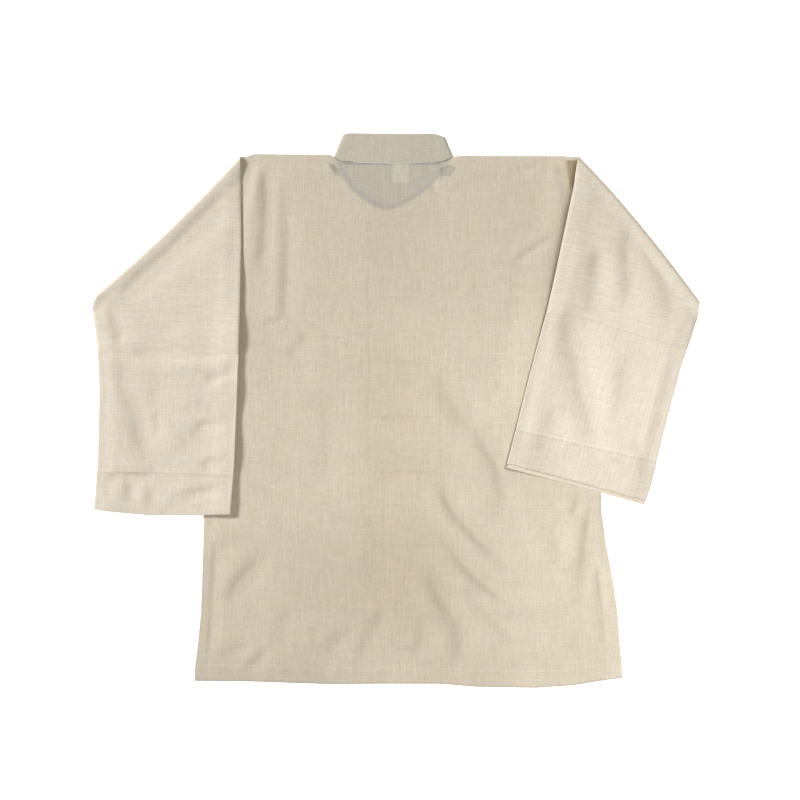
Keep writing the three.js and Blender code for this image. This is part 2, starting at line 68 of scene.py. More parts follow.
WALL = 0.0009  # the cloth as it looks, within the solids' 1.2 mm
LAYER = 0.0015  # from the middle of one layer to the middle of the next
FRONT_MID = WALL / 2  # height of the fronts' middle, lying on the ground
BACK_MID = FRONT_MID + LAYER
ROLL = 0.004  # radius of the outer layer where a sleeve turns over
ROLL_RUN = 0.019  # a folded sleeve comes down from its roll over this distance
SIDE_STAY = 0.010  # a folded sleeve stays at the back's height this far past the body's side
SIDE_RAMP = 0.07  # and then comes down to the ground over this distance
PRESSED_MARGIN = 0.014  # a sleeve starts to press the back flat this far beside itself
PRESSED_RAMP = 0.022  # and presses it fully after this distance
LIFT_WIDTH = 0.024  # the lift of a sleeve's inner edge dies away over this width
LOWER_INSET = 0.014  # share of a sleeve's width by which its lower layer is narrower, on each side
SLOPE_ROOM = 0.0003  # room between two layers on a slope, beyond LAYER
BACK_PUFF = 0.0021  # how far the open cloth stands off what it lies on, without creases
SLEEVE_PUFF = 0.0025
LONGEST_RISE = 0.0055
SETTLE_BEND = 0.0004  # the bend where a rise would go below 0
EDGE_CURL = 0.004  # the back turns down over this much of its closed edges
BACK_RAMPS = (0.05, 0.035)  # shares of width and length over which the back rises from its edges
SLEEVE_RAMP = 0.13  # share of a sleeve's width over which its upper layer rises
SLEEVE_RIPPLE = 1.3  # height of the waves on a sleeve, in those of the back
LIFT_WAVES = ((0.22, 0.013, 0.8), (0.16, 0.031, 0))  # share, length / tau and phase along a lifted edge
HEM_DEPTH = 0.0235
DOUBLED = 0.0004  # how much a doubled hem stands out
BACK_LENGTH, BACK_WIDTH, SLEEVE_WIDTH = 0.752, 0.58, 0.204  # about, to turn lengths into shares
FRONT_INSET = 0.002  # the fronts' edges lie this far inside the back's
VENT_TOP = -0.556  # the side seams end here and the vents begin

BODY_SIDES = (  # y, left, right
    (0.001, -0.2, 0.242), (-0.203, -0.2703, 0.2918), (-0.217, -0.2704, 0.2946),
    (-0.508, -0.2721, 0.296), (-0.558, -0.2724, 0.3026), (-0.59, -0.2736, 0.3096),
    (-0.621, -0.2747, 0.3146), (-0.655, -0.276, 0.3195), (-0.7, -0.2803, 0.3226),
    (-0.735, -0.2846, 0.3257), (-0.762, -0.2856, 0.3285),
)
NECK_LEFT, NECK_RIGHT, NECK_POINT = -0.0858, 0.0844, -0.003  # x, x and the y of both neck points
SHOULDERS = (  # x, y
    (-0.2, 0.001), (-0.0915, 0), (NECK_LEFT, NECK_POINT), (-0.0729, -0.0093), (-0.036, -0.0116),
    (0, -0.0122), (0.036, -0.0116), (0.0715, -0.0093), (NECK_RIGHT, NECK_POINT), (0.0944, -0.0015),
    (0.242, -0.002),
)
HEM = (  # x, y
    (-0.2855, -0.7515), (-0.2088, -0.7522), (-0.1344, -0.7548), (-0.09, -0.7563), (-0.02, -0.7556),
    (0.0658, -0.7558), (0.1173, -0.76), (0.203, -0.7615), (0.2545, -0.7579), (0.306, -0.75),
    (0.3276, -0.7472),
)
COLLAR_TOP = (  # x, y
    (-0.0729, 0.0285), (-0.066, 0.031), (0, 0.0302), (0.058, 0.0304), (0.0729, 0.025),
)
UNDERARM = {"left": -0.203, "right": -0.217}
FRONT_NECK_DEPTH = 0.081
COLLAR_HEIGHT = 0.043

# The sleeves as they lie folded: s runs down a sleeve, w across it from its inner edge, and p is the
# share of its width.
SLEEVES = {
    "left": {
        "side": -1,
        "shoulder": (-0.2195, -0.0007),  # where its inner edge starts
        "hang": 1,  # degrees that it turns from straight down
        "fold": (0.0025, 0.2, 0.005),  # s at its inner end, s at its outer end, bow
        "edges": (  # s, inner, outer
            (0, 0, 0.1975), (0.135, -0.0036, 0.1975), (0.2, -0.0034, 0.1975), (0.212, -0.0033, 0.2044),
            (0.223, -0.0032, 0.2068), (0.257, -0.003, 0.2022), (0.284, -0.0028, 0.1988),
            (0.34, -0.0016, 0.1953), (0.44, 0.0006, 0.196), (0.516, 0.0058, 0.2002),
        ),
        "seam": ((0, 0.284), (1, 0.284)),  # p, s
        "stitch": ((0, 0.457), (1, 0.456)),
        "end": ((0, 0.513), (0.25, 0.515), (0.6, 0.516), (0.9, 0.512), (1, 0.509)),
        "lift": (  # s, height of its inner edge above the back
            (0, 0), (0.04, 0), (0.1, 0.0008), (0.16, 0.0026), (0.21, 0.0046), (0.27, 0.0060),
            (0.34, 0.0058), (0.44, 0.0050), (0.516, 0.0056),
        ),
        "lower_longer": 0,  # how much further its lower layer reaches
    },
    "right": {
        "side": 1,
        "shoulder": (0.2617, -0.0014),
        "hang": 12,
        "fold": (0.0005, 0.168, -0.005),
        "edges": (
            (0, 0.001, 0.214), (0.045, 0.0044, 0.214), (0.168, 0.0047, 0.214), (0.19, 0.0044, 0.2157),
            (0.225, 0.004, 0.2125), (0.261, 0.0018, 0.2078), (0.344, -0.0022, 0.2033),
            (0.4, -0.0039, 0.2014), (0.438, -0.0055, 0.2008), (0.462, -0.0065, 0.1978),
        ),
        "seam": ((0, 0.2285), (0.26, 0.224), (0.56, 0.231), (0.86, 0.2354), (1, 0.236)),
        "stitch": ((0, 0.402), (1, 0.405)),
        "end": ((0, 0.451), (0.5, 0.4555), (1, 0.462)),
        "lift": (
            (0, 0.0012), (0.06, 0.0040), (0.15, 0.0038), (0.25, 0.0018), (0.34, 0.0010), (0.462, 0.0010),
        ),
        "lower_longer": 0.006,
    },
}

# A crease is a trough whose wall on one side is steep, below a puffed ridge, and gentle on the other.
# Each one in millimetres: width of the steep wall, depth of the trough, height of the ridge (above 0 on
# the right of the path, below 0 on its left), and then x and y of the path down the steep wall.
CREASE_WALL = 0.7  # the path lies this many widths from the bottom of the trough
RIDGE_PLACE, RIDGE_WIDTH = 2, 1.6  # in widths of the steep wall
FAR_SIDE = 1.7  # the gentle side is so many times as wide as the steep one
CREASE_TAPER = 0.3  # share of a path over which it rises to its full depth
CREASE_END = 0.04  # what is left of it at its ends
UNEVEN, UNEVEN_TURN, UNEVEN_PHASE = 0.22, 8, 2.3  # a crease's depth varies along it


def creases(*rows):
    """The creases of a table in millimetres, as (on, width, depth, ridge, path) in metres."""
    made = []
    for on, *numbers in rows:
        width, depth, ridge, *path = (number / 1000 for number in numbers)
        made.append((on, width, depth, ridge, list(zip(path[::2], path[1::2]))))
    return made


CREASES = creases(
    # the two long ones down the left of the back
    ("back", 8.5, 2.1, 1.7, -194, -4, -187, -57, -189, -114, -197, -170),
    ("back", 7, 1.2, 1, -163, -30, -157, -107, -159, -193, -163, -240),
    ("back", 4, 1.2, 0.6, -156, -233, -172, -236, -189, -239),
    ("back", 7, 1, 0.5, -126, -255, -140, -272, -152, -288),
    # the fan of folds at the lower right of the back
    ("back", 14, 2.4, 1.2, 50, -310, 70, -345, 90, -372, 105, -400),
    ("back", 12, 3.2, 1.8, 100, -375, 120, -405, 139, -436, 147, -458, 150, -486, 162, -512),
    ("back", 9, 4.1, 2.6, 56, -468, 67, -483, 77, -502, 89, -520, 103, -535, 120, -552, 140, -569, 172,
     -590),
    ("back", 9, 4.3, 2.9, 56, -545, 70, -558, 87, -576, 99, -589, 116, -605, 137, -622, 156, -633.5, 180,
     -636, 216, -638, 250, -648),
    ("back", 11, 3.2, 2, 35, -595, 51, -615, 66, -639, 77, -658, 87, -679, 91, -708, 90, -735),
    ("back", 10, 2.4, 1.4, 95, -622, 109, -639, 127, -653.5, 144, -674, 163, -686, 192, -700),
    ("back", 11, 3.1, 1.8, 281, -485, 278, -505, 274.6, -529, 270, -565, 266, -600, 262, -660),
    ("back", 7, 2.9, 1.4, 262, -468, 260, -493, 251, -518),
    ("back", 14, 1.5, 1, 200, -510, 216, -536, 230, -558, 240, -585),
    ("back", 7, 1.8, 1, 288, -580, 291.5, -610, 295, -650, 300, -700),
    ("back", 16, 1.1, 1, 170, -420, 200, -470, 235, -505, 250, -530),
    # slight ones by the shoulders, the left side and the hem
    ("back", 4, 1.4, 0.8, 232, -112, 199, -131, 161, -160),
    ("back", 5, 1.4, 0.6, 200, -18, 168, -24, 135, -22),
    ("back", 4, 1.4, 0.7, 96, -53, 68, -51, 54, -42),
    ("back", 10, 2.6, 1.4, -185, -570, -205, -587, -225, -610, -250, -645),
    ("back", 7, 2.2, 1, -258, -545, -262, -600, -266, -660, -272, -735),
    ("back", 5, 1.6, 0.8, -228, -562, -252, -556, -270, -552),
    ("back", 10, 1.4, 0.8, -50, -670, -80, -690, -100, -706, -140, -694),
    ("back", 9, 1.2, 0.6, 140, -716, 180, -704, 220, -706),
    ("back", 10, 1.6, 0.9, -185, -712, -210, -700, -235, -706, -262, -716),
    ("back", 7, 2, 1.2, -183, -702, -194, -716, -205, -727, -220, -737),
    ("back", 9, 1.4, 0.8, -10, -640, -30, -670, -45, -695, -50, -730),
    ("back", 9, 1.2, 0.7, 30, -660, 36, -690, 20, -715),
    ("back", 12, 1.2, 0.7, -150, -640, -165, -670, -160, -705),
    ("back", 18, 1, 0.6, -60, -480, -35, -540, -40, -620),
    ("back", 18, 1, 0.6, -120, -320, -100, -400, -110, -480),
    # left sleeve
    ("left", 14, 4.2, 1, -237, -30, -270, -77, -290, -96, -326, -132, -371, -171, -402, -202),
    ("left", 12, 2.1, 1, -398, -262, -391, -329, -377, -370, -367, -405, -356, -450),
    ("left", 12, 1.2, 0.8, -272, -380, -299, -408, -336, -444),
    ("left", 5, 3, 1.4, -270, -327, -250, -324.5, -236, -320.5, -223, -317),
    ("left", 10, 2.2, 0.8, -412, -208, -404, -245, -392, -276),
    ("left", 7.5, 4.6, -1, -225, -291.5, -280, -293, -315, -293, -345, -292, -375, -290),
    ("left", 6, 3.4, -1, -408, -454.5, -380, -456, -340, -457.5),
    ("left", 5, 2, 1, -240, -385, -265, -382, -286, -386),
    ("left", 4, 1, 0.5, -340, -365, -341, -385, -340, -404),
    ("left", 5, 2.2, 1, -237, -436, -258, -435, -275, -439),
    ("left", 8, 2.1, 1, -382, -452, -381, -475, -383, -502),
    ("left", 6, 1.6, 0.8, -416, -458, -414, -475, -417, -492),
    ("left", 8, 1.7, 0.8, -354, -464, -351, -484, -353, -502),
    ("left", 5, 2.2, 1, -240, -474, -285, -480, -327, -486),
    ("left", 6, 1.4, 0.6, -288, -490, -310, -498, -335, -504),
    ("left", 14, 0.8, 0.5, -330, -300, -345, -330, -345, -360),
    # right sleeve
    ("right", 13, 3.1, 1.4, 288, -125, 284, -155, 280, -187, 271, -250),
    ("right", 15.5, 3.1, 1.8, 255, -205, 247, -225, 243, -253, 251.7, -299, 264.5, -343, 275, -388, 276,
     -440),
    ("right", 12.5, 2.8, 1.2, 338, -85, 332, -115, 326, -150, 329, -188, 316, -250),
    ("right", 14, 3.1, 0.8, 346, -112, 366, -152, 383, -188, 393, -260),
    ("right", 6, 1, 0.6, 402, -272, 392, -310, 380, -357, 369, -408, 356, -432),
    ("right", 12, 1.4, 0.8, 330, -280, 320, -340, 313, -415),
    ("right", 10, 1.6, 0.8, 225, -360, 214, -395, 204, -430),
    ("right", 6, 0.9, 0.5, 335, -405, 352, -430, 348, -464),
    ("right", 6, 0.9, 0.5, 374, -412, 362, -440, 360, -470),
)
FRONT_RISE = 0.0005  # the most that the hidden fronts stand off the ground, in their creases
FRONT_CREASES = creases(
    ("front", 9, 0, 0.5, -230, -120, -170, -200, -150, -290),
    ("front", 8, 0, 0.5, -200, -400, -150, -470, -90, -500),
    ("front", 10, 0, 0.5, -240, -600, -200, -660, -120, -690),
    ("front", 8, 0, 0.5, 220, -100, 190, -190, 120, -260),
    ("front", 9, 0, 0.5, 100, -400, 160, -460, 200, -550, 260, -600),
    ("front", 10, 0, 0.5, 70, -600, 110, -660, 180, -690),
)

# Cloth that lies on other cloth is never quite flat: a few long, shallow waves, the same each time.
WAVE_COUNT = 14
WAVE_SEED = 11
WAVE_LENGTHS = (0.05, 0.17)
WAVE_HEIGHT = 0.00011
_waves = np.random.default_rng(WAVE_SEED)
WAVES = [
    (math.tau / _waves.uniform(*WAVE_LENGTHS), _waves.uniform(0, math.tau), _waves.uniform(0, math.tau))
    for _ in range(WAVE_COUNT)
]


# ---------------------------------------------------------------- where the cloth lies
def smooth(x):
    """0 below 0, 1 above 1 and an even S between."""
    x = np.clip(x, 0, 1)
    return x * x * (3 - 2 * x)


def hump(distance, width):
    """1 at no distance, falling to about a third at the width and to nothing beyond."""
    return np.exp(-((distance / width) ** 2))


def lerp(a, b, t):
    return a + (b - a) * t


def look(table, column, at):
    """The value of a table's column at a place of its first column, straight between rows."""
    rows = sorted(table)
    return np.interp(at, [row[0] for row in rows], [row[column] for row in rows])


def spaced(*bands):
    """Numbers from 0 to 1, each band reaching its end in its number of steps."""
    places = [0.0]
    for end, steps in bands:
        places += list(np.linspace(places[-1], end, steps + 1)[1:])
    return np.array(places)


def ripple(x, y):
    """The long, shallow waves, about -1 to 1."""
    total = sum(np.sin(k * (x * math.cos(turn) + y * math.sin(turn)) + phase) for k, turn, phase in WAVES)
    return total / math.sqrt(WAVE_COUNT / 2)


def curved(path, steps=3):
    """A path made smooth: a few points on a curve through its own."""
    points = np.array((path[0], *path, path[-1]))
    share = np.linspace(0, 1, steps + 1)[:-1, None]
    runs = []
    for a, b, c, d in zip(points, points[1:], points[2:], points[3:]):
        runs.append(b + share * (c - a) / 2 + share**2 * (a - 2.5 * b + 2 * c - d / 2)
                    + share**3 * (3 * b - a - 3 * c + d) / 2)
    return [*map(tuple, np.concatenate(runs)), path[-1]]


def creases_at(table, on, x, y):
    """How far the creases on a piece raise (above 0) or sink (below 0) its cloth."""
    rise = np.zeros(np.broadcast(x, y).shape)
    for number, (where, width, depth, ridge, path) in enumerate(table):
        if where != on:
            continue
        path = curved(path)
        nearest = np.full(rise.shape, np.inf)
        place = np.zeros(rise.shape)
        right = np.zeros(rise.shape, bool)
        runs = len(path) - 1
        for i, ((ax, ay), (bx, by)) in enumerate(zip(path, path[1:])):
            dx, dy = bx - ax, by - ay
            t = np.clip(((x - ax) * dx + (y - ay) * dy) / (dx * dx + dy * dy), 0, 1)
            ox, oy = x - ax - t * dx, y - ay - t * dy
            distance = np.hypot(ox, oy)
            closer = distance < nearest
            nearest = np.where(closer, distance, nearest)
            place = np.where(closer, (i + t) / runs, place)
            right = np.where(closer, dy * ox - dx * oy > 0, right)
        uneven = 1 + UNEVEN * np.sin(UNEVEN_TURN * place + UNEVEN_PHASE * number)
        taper = uneven * smooth(np.minimum(place, 1 - place) / CREASE_TAPER + CREASE_END)
        across = np.where(right == (ridge > 0), nearest, -nearest) / width + CREASE_WALL
        puff = hump(across - RIDGE_PLACE, RIDGE_WIDTH)
        sink = hump(np.where(across > 0, across, across / FAR_SIDE), 1)
        rise += taper * (abs(ridge) * puff - depth * sink)
    return rise


def settled(rise):
    """A rise that never goes below 0 or above the most that two layers stand apart."""
    return np.minimum((rise + np.hypot(rise, SETTLE_BEND)) / 2, LONGEST_RISE)


def left_at(y):
    """x of the body's left side."""
    return look(BODY_SIDES, 1, y)


def right_at(y):
    """x of the body's right side."""
    return look(BODY_SIDES, 2, y)


def top_at(a):
    """y of the shoulder line at a share of the body's width."""
    return look(SHOULDERS, 1, lerp(BODY_SIDES[0][1], BODY_SIDES[0][2], a))


def hem_at(a):
    """y of the hem at a share of the body's width."""
    return look(HEM, 1, lerp(HEM[0][0], HEM[-1][0], a))


def across_at(x, y):
    """The share of the body's width at x, from its left side."""
    return (x - left_at(y)) / (right_at(y) - left_at(y))


def body_plan(a, b, top=None):
    """A point of the body: a across it from the left, b down it from the shoulder line."""
    top = top_at(a) if top is None else top
    y = lerp(top, hem_at(a), b)
    return lerp(left_at(y), right_at(y), a), y


def pressed(x, y):
    """How much the folded sleeves press the back flat: 0 in the open, 1 below a sleeve."""
    share = np.zeros(np.broadcast(x, y).shape)
    for sleeve in SLEEVES.values():
        turn = math.radians(sleeve["hang"])
        sx, sy = sleeve["shoulder"]
        s = -(x - sx) * math.sin(turn) - (y - sy) * math.cos(turn)
        w = sleeve["side"] * ((x - sx) * math.cos(turn) - (y - sy) * math.sin(turn))
        reach = max(row[1] for row in sleeve["end"]) + sleeve["lower_longer"]
        below = smooth((w + PRESSED_MARGIN) / PRESSED_RAMP) * smooth((reach - s) / PRESSED_RAMP + 1)
        share = np.maximum(share, below)
    return share


def back_height(x, y):
    """Height of the middle of the back's cloth."""
    a = across_at(x, y)
    b = (y - top_at(a)) / (hem_at(a) - top_at(a))
    inside = (a > 0) & (a < 1) & (b > 0) & (b < 1)
    off = smooth(np.minimum(a, 1 - a) / BACK_RAMPS[0]) * smooth(np.minimum(b, 1 - b) / BACK_RAMPS[1])
    rise = settled(BACK_PUFF + creases_at(CREASES, "back", x, y) + WAVE_HEIGHT * ripple(x, y))
    return BACK_MID + np.where(inside, off * (1 - pressed(x, y)) * rise, 0)


def sleeve_plan(sleeve, s, p):
    """A point of a folded sleeve: s down it, p across it from its inner edge (0) to its outer one (1)."""
    w = lerp(look(sleeve["edges"], 1, s), look(sleeve["edges"], 2, s), p)
    turn = math.radians(sleeve["hang"])
    side = sleeve["side"]
    x = sleeve["shoulder"][0] - s * math.sin(turn) + side * w * math.cos(turn)
    return x, sleeve["shoulder"][1] - s * math.cos(turn) - side * w * math.sin(turn)


def fold_at(sleeve, p):
    """s of the line that a sleeve is folded over, at a share of its width."""
    start, end, bow = sleeve["fold"]
    return lerp(start, end, p) + bow * 4 * p * (1 - p)


def fold_slope(sleeve):
    """The share of a step down the sleeve that leads straight away from its fold line."""
    start, end, _ = sleeve["fold"]
    across = look(sleeve["edges"], 2, end)
    return across / math.hypot(end - start, across)


def sleeve_heights(name, s, p):
    """The middles of the two layers of a folded sleeve."""
    sleeve = SLEEVES[name]
    x, y = sleeve_plan(sleeve, s, p)
    beyond = left_at(y) - x if sleeve["side"] < 0 else x - right_at(y)
    over_body = smooth(1 - (beyond - SIDE_STAY) / SIDE_RAMP)
    over_base = smooth(1 - (UNDERARM[name] - y - SIDE_STAY) / SIDE_RAMP)
    cover = np.maximum(over_body, over_base)
    uneven = 1 + sum(share * np.sin(s / length + phase) for share, length, phase in LIFT_WAVES)
    lift = look(sleeve["lift"], 1, s) * hump(p * SLEEVE_WIDTH, LIFT_WIDTH) * uneven
    lower = FRONT_MID + cover * (back_height(x, y) - FRONT_MID + LAYER) + lift
    across = smooth(np.minimum(p, 1 - p) / SLEEVE_RAMP)
    waves = SLEEVE_RIPPLE * WAVE_HEIGHT * ripple(x, y)
    rise = settled(SLEEVE_PUFF + creases_at(CREASES, name, x, y) + waves)
    return lower, lower + LAYER + SLOPE_ROOM + across * rise


def edge_drop(distance, depth):
    """How far an edge has turned down, at a distance inside it."""
    return depth * (1 - np.sqrt(np.clip(distance / EDGE_CURL, 0, 1)))


GROUND_STEPS = (0, 0.2, 0.4, 0.6, 0.8, 1)  # shares of the way from the body to the roll
SEAM_DIP = 0.0005  # a seam sinks this deep
SEAM_REACH = 0.004
SEAM_TUCK = 0.0012  # the cloth goes this far into a joint seam
TUCK_DEPTH = 0.0006
SEAM_GAPS = {"front": 0.0001, "back": 0.0003}  # how far a layer's last row lies before the seam
TUBE_GAP = 0.00015  # how far the lower sleeve's first row lies past it


def upper_sleeve_net(name, layer, p, parting, turns, down):
    """The net of an upper sleeve, from the parting of body and sleeve over the ground, up round the
    roll and down the folded sleeve to the joint seam, with its places in the flat cut. turns are the
    degrees of its rows round the roll, down the shares of its rows down the sleeve."""
    sleeve = SLEEVES[name]
    is_front = layer == "front"
    level = FRONT_MID if is_front else BACK_MID
    inset = 0 if is_front else LOWER_INSET
    radius = ROLL if is_front else ROLL - LAYER
    q = 0.5 + (p - 0.5) * (1 - 2 * inset)
    slope = fold_slope(sleeve)
    fold_s = fold_at(sleeve, q)
    crest = np.stack(sleeve_plan(sleeve, fold_s, q), -1)
    ends = [np.array(sleeve_plan(sleeve, fold_at(sleeve, e), e)) for e in (0.0, 1.0)]
    line = (ends[1] - ends[0]) / np.linalg.norm(ends[1] - ends[0])
    square = np.array((line[1], -line[0]))  # straight out of the body, across the fold
    if np.dot(square, (sleeve["side"], 0)) < 0:
        square = -square
    away = np.abs((parting - crest) @ square)

    def on_ground(distance):
        return lerp(crest, parting, (distance / away)[:, None])

    def unfolded(xy):
        """The place in the flat cut of a point that lies past the roll."""
        past = (xy - ends[0]) @ square
        return xy - 2 * past[:, None] * square + (math.pi * radius - 2 * ROLL) * square

    rows, cut = [], []
    for run in GROUND_STEPS:
        xy = lerp(parting, on_ground(np.full(p.shape, ROLL)), run)
        rows.append(np.column_stack((xy, np.full(p.shape, level))))
        cut.append(xy)
    tangent = cut[-1]
    for turn in turns:
        turned = math.radians(turn)
        inside = ROLL - radius * math.cos(turned)
        z = FRONT_MID + ROLL + radius * math.sin(turned)
        if turn < 0:
            xy = on_ground(np.full(p.shape, inside))
        else:
            xy = np.stack(sleeve_plan(sleeve, fold_s + inside / slope, q), -1)
        rows.append(np.column_stack((xy, np.full(p.shape, z))))
        cut.append(tangent + radius * (turned + math.pi / 2) * square)
    start = fold_s + ROLL / slope
    end = look(sleeve["seam"], 1, q) - SEAM_GAPS[layer]
    for row, share in enumerate((*down, 1)):
        tuck = row == len(down)  # the last row goes into the joint seam
        s = lerp(start, end, share) + (SEAM_TUCK if tuck else 0)
        lower, upper = sleeve_heights(name, s, q)
        off_roll = smooth((s - start) * slope / ROLL_RUN)
        z = lerp(FRONT_MID + ROLL + radius, upper if is_front else lower, off_roll)
        xy = np.stack(sleeve_plan(sleeve, s, q), -1)
        z = z - (TUCK_DEPTH if tuck else 0) * (1 if is_front else -1)
        if is_front:  # its edges turn down over the layer below
            z = z - edge_drop(np.minimum(q, 1 - q) * SLEEVE_WIDTH, LAYER) * off_roll
            z = z - SEAM_DIP * hump(end - s, SEAM_REACH)
        rows.append(np.column_stack((xy, np.maximum(z, FRONT_MID))))
        cut.append(unfolded(xy))
    return np.array(rows), np.array(cut)


# ---------------------------------------------------------------- cloth to mesh
WELD = 1e-5  # points closer than this become one


class Cloth:
    """A sheet of cloth: nets of points at the middle of its wall, welded, then given two faces."""

    def __init__(self):
        self.points, self.extra, self.tone, self.quads, self.cut = [], [], [], [], []
        self.count = 0

    def net(self, points, cut, extra=0.0, flip=False, tone=0.0):
        """Adds a net of columns by rows and returns its places. Its outer face is up where columns run
        right and rows down, or else with flip. extra is how much the outer face stands out, tone how
        much lighter or darker it is."""
        n, m = points.shape[:2]
        index = self.count + np.arange(n * m).reshape(n, m)
        corners = index[:-1, :-1], index[:-1, 1:], index[1:, 1:], index[1:, :-1]
        quads = np.stack(corners, -1).reshape(-1, 4)
        self.points.append(points.reshape(-1, 3))
        self.cut.append(cut.reshape(-1, 2))
        self.extra.append(np.broadcast_to(extra, (n, m)).reshape(-1))
        self.tone.append(np.broadcast_to(tone, (n, m)).reshape(-1))
        self.quads.append(quads[:, ::-1] if flip else quads)
        self.count += n * m
        return index

    def build(self, name, wall):
        """The object: both faces, its rims closed, and the flat cut as its UV map."""
        raw = np.concatenate(self.points)
        quads = np.concatenate(self.quads)
        cut = np.concatenate(self.cut)
        _, first, welded = np.unique(np.round(raw / WELD).astype(np.int64), axis=0, return_index=True,
                                     return_inverse=True)
        welded = welded.reshape(-1)
        points = raw[first]
        extra = np.zeros(len(points))
        np.maximum.at(extra, welded, np.concatenate(self.extra))
        faces = welded[quads]
        normals = np.zeros_like(points)
        a, b, c, d = (points[faces[:, corner]] for corner in range(4))
        face_normals = np.cross(c - a, d - b)
        for i in range(4):
            np.add.at(normals, faces[:, i], face_normals)
        normals /= np.maximum(np.linalg.norm(normals, axis=1), 1e-12)[:, None]
        outer = points + normals * (wall / 2 + extra)[:, None]
        inner = points - normals * wall / 2
        count = len(points)
        edges = np.stack((faces, np.roll(faces, -1, axis=1)), -1).reshape(-1, 2)
        corners = np.stack((quads, np.roll(quads, -1, axis=1)), -1).reshape(-1, 2)
        codes = edges[:, 0] * count + edges[:, 1]
        border = ~np.isin(edges[:, 1] * count + edges[:, 0], codes) & (edges[:, 0] != edges[:, 1])
        rim, rim_cut = edges[border], corners[border]
        rims = np.column_stack((rim[:, 1], rim[:, 0], rim[:, 0] + count, rim[:, 1] + count))
        every = np.concatenate((faces, faces[:, ::-1] + count, rims))
        every_cut = np.concatenate((cut[quads], cut[quads[:, ::-1]], cut[rim_cut[:, (1, 0, 0, 1)]]))
        place = np.array((NECK_X, NECK_Y, 0.0))
        self.outer, self.welded = outer + place, welded
        mesh = bpy.data.meshes.new(name)
        mesh.from_pydata((np.concatenate((outer, inner)) + place).tolist(), [], every.tolist())
        uv = mesh.uv_layers.new(name="FlatCut")
        uv.data.foreach_set("uv", every_cut.reshape(-1).astype(np.float32))
        mesh.polygons.foreach_set("use_smooth", np.ones(len(mesh.polygons), bool))
        mesh.update()
        tone = np.zeros(len(points))
        tone[welded] = np.concatenate(self.tone)
        mesh.attributes.new("tone", "FLOAT", "POINT").data.foreach_set(
            "value", np.concatenate((tone, np.zeros(len(points)))).astype(np.float32))
        if mesh.validate():
            raise RuntimeError(f"{name} had faulty faces")
        piece = bpy.data.objects.new(name, mesh)
        bpy.context.scene.collection.objects.link(piece)
        self.area = float(np.linalg.norm(face_normals, axis=1).sum() / 2)
        self.flat = tuple(float(v) for v in np.ptp(cut, axis=0))
        return piece

    def line(self, index):
        """Points on the outer face of the built cloth, for sewing to follow."""
        return self.outer[self.welded[index]]


# ---------------------------------------------------------------- nets of the pieces
def underarm_b(name):
    """The share of the body's length at which a sleeve ends."""
    a = 0.0 if name == "left" else 1.0
    return float((UNDERARM[name] - top_at(a)) / (hem_at(a) - top_at(a)))


UNDERARM_B = {name: underarm_b(name) for name in SLEEVES}
HEM_B = 1 - HEM_DEPTH / BACK_LENGTH
VENT_STRIP = {"left": 0.0235, "right": 0.042}  # shares of the body's width
STITCH_IN = 0.003  # a stitch row lies this share inside the edge of its hem
VENT_RAMP = 0.008
VENT_DOUBLED = 0.45  # share of a doubled hem's rise along the vents
SIDE_DROP = LAYER * 0.55  # how far the back's closed edges turn down
NECK_GAP = 0.0003  # the fronts' neck edges and the collar's seam lie this far off the neck line
SLIT = 0.0002  # half the gap between the two fronts
COLLAR_ROOM = 0.00075  # the collar's front half lies this far inside its back half
COLLAR_WIDTH, COLLAR_END, COLLAR_TOP_BEND = 0.15, 0.003, 0.002  # its rounded ends and top edge
COLLAR_PUFF, COLLAR_DOUBLED = 0.0004, 0.0006  # how far its middle and its whole doubled face stand out
SEAM_NARROWER = 4 / 3
BACK_TURNS = (-60, -30, 0, 30, 60)  # degrees of the rows round a roll
FRONT_TURNS = range(-75, 90, 15)
PALE_TURNS = (-15, 45)

# How much lighter (above 0) or darker (below 0) the cloth is painted, most of it painted light and shade, and
# the widths of its lines.
HEM_TONE, RIGHT_VENT_TONE, LEFT_VENT_SHADE = 0.035, 0.08, -0.07
# Painted shade: dark lines along the collar's seam and along the hem's bottom edge.
EDGE_SHADE, COLLAR_LINE, HEM_LINE = -0.26, 0.0020, 0.0016
# Painted light on the right upper sleeve: its roll and its lower, outer part are painted paler.
ROLL_LIGHT, ROLL_END_LIGHT, UPPER_LIGHT = 0.25, 0.10, 0.09  # on the right upper sleeve
# Painted shade along the joint seams, the cuff stitch rows and the cuff ends, with a painted highlight just
# above each stitch row.
SEAM_SHADE, STITCH_SHADE, RIDGE_HIGHLIGHT, END_SHADE = -0.09, -0.12, 0.06, -0.22  # across both lower sleeves
LINE_WIDTH, END_WIDTH, RIDGE_BEFORE = 0.0012, 0.0010, 0.0027
OUTER_LIGHT, CUFF_TONE = 0.11, -0.05  # on the right lower sleeve
LEFT_TONE, RIM_HIGHLIGHT, RIM_WIDTH = -0.035, 0.07, 0.003  # on the left lower sleeve
BACK_SLEEVE_DOWN = spaced((0.12, 6), (1, 18))  # shares of the way from the roll to the joint seam


def back_rows():
    """Shares of the back's length, close together at the shoulder line, the underarms and the hem."""
    curl = EDGE_CURL / BACK_LENGTH
    return spaced((curl * 0.06, 1), (curl * 0.25, 1), (curl, 3), (UNDERARM_B["left"], 56),
                  (UNDERARM_B["right"], 4), (HEM_B - 0.001, 148), (HEM_B, 1), (HEM_B + 0.0008, 1),
                  (HEM_B + STITCH_IN, 1), (0.9985, 6), (1, 1))


def back_columns():
    """Shares of the back's width, close together at its sides and at the vents' turned-in strips."""
    curl = EDGE_CURL / BACK_WIDTH
    left, right = VENT_STRIP["left"], 1 - VENT_STRIP["right"]
    return spaced((curl * 0.08, 1), (curl, 4), (left - STITCH_IN, 3), (left, 1), (left + 0.002, 1),
                  (right - 0.002, 140), (right, 1), (right + STITCH_IN, 1), (1 - curl, 8),
                  (1 - curl * 0.08, 4), (1, 1))


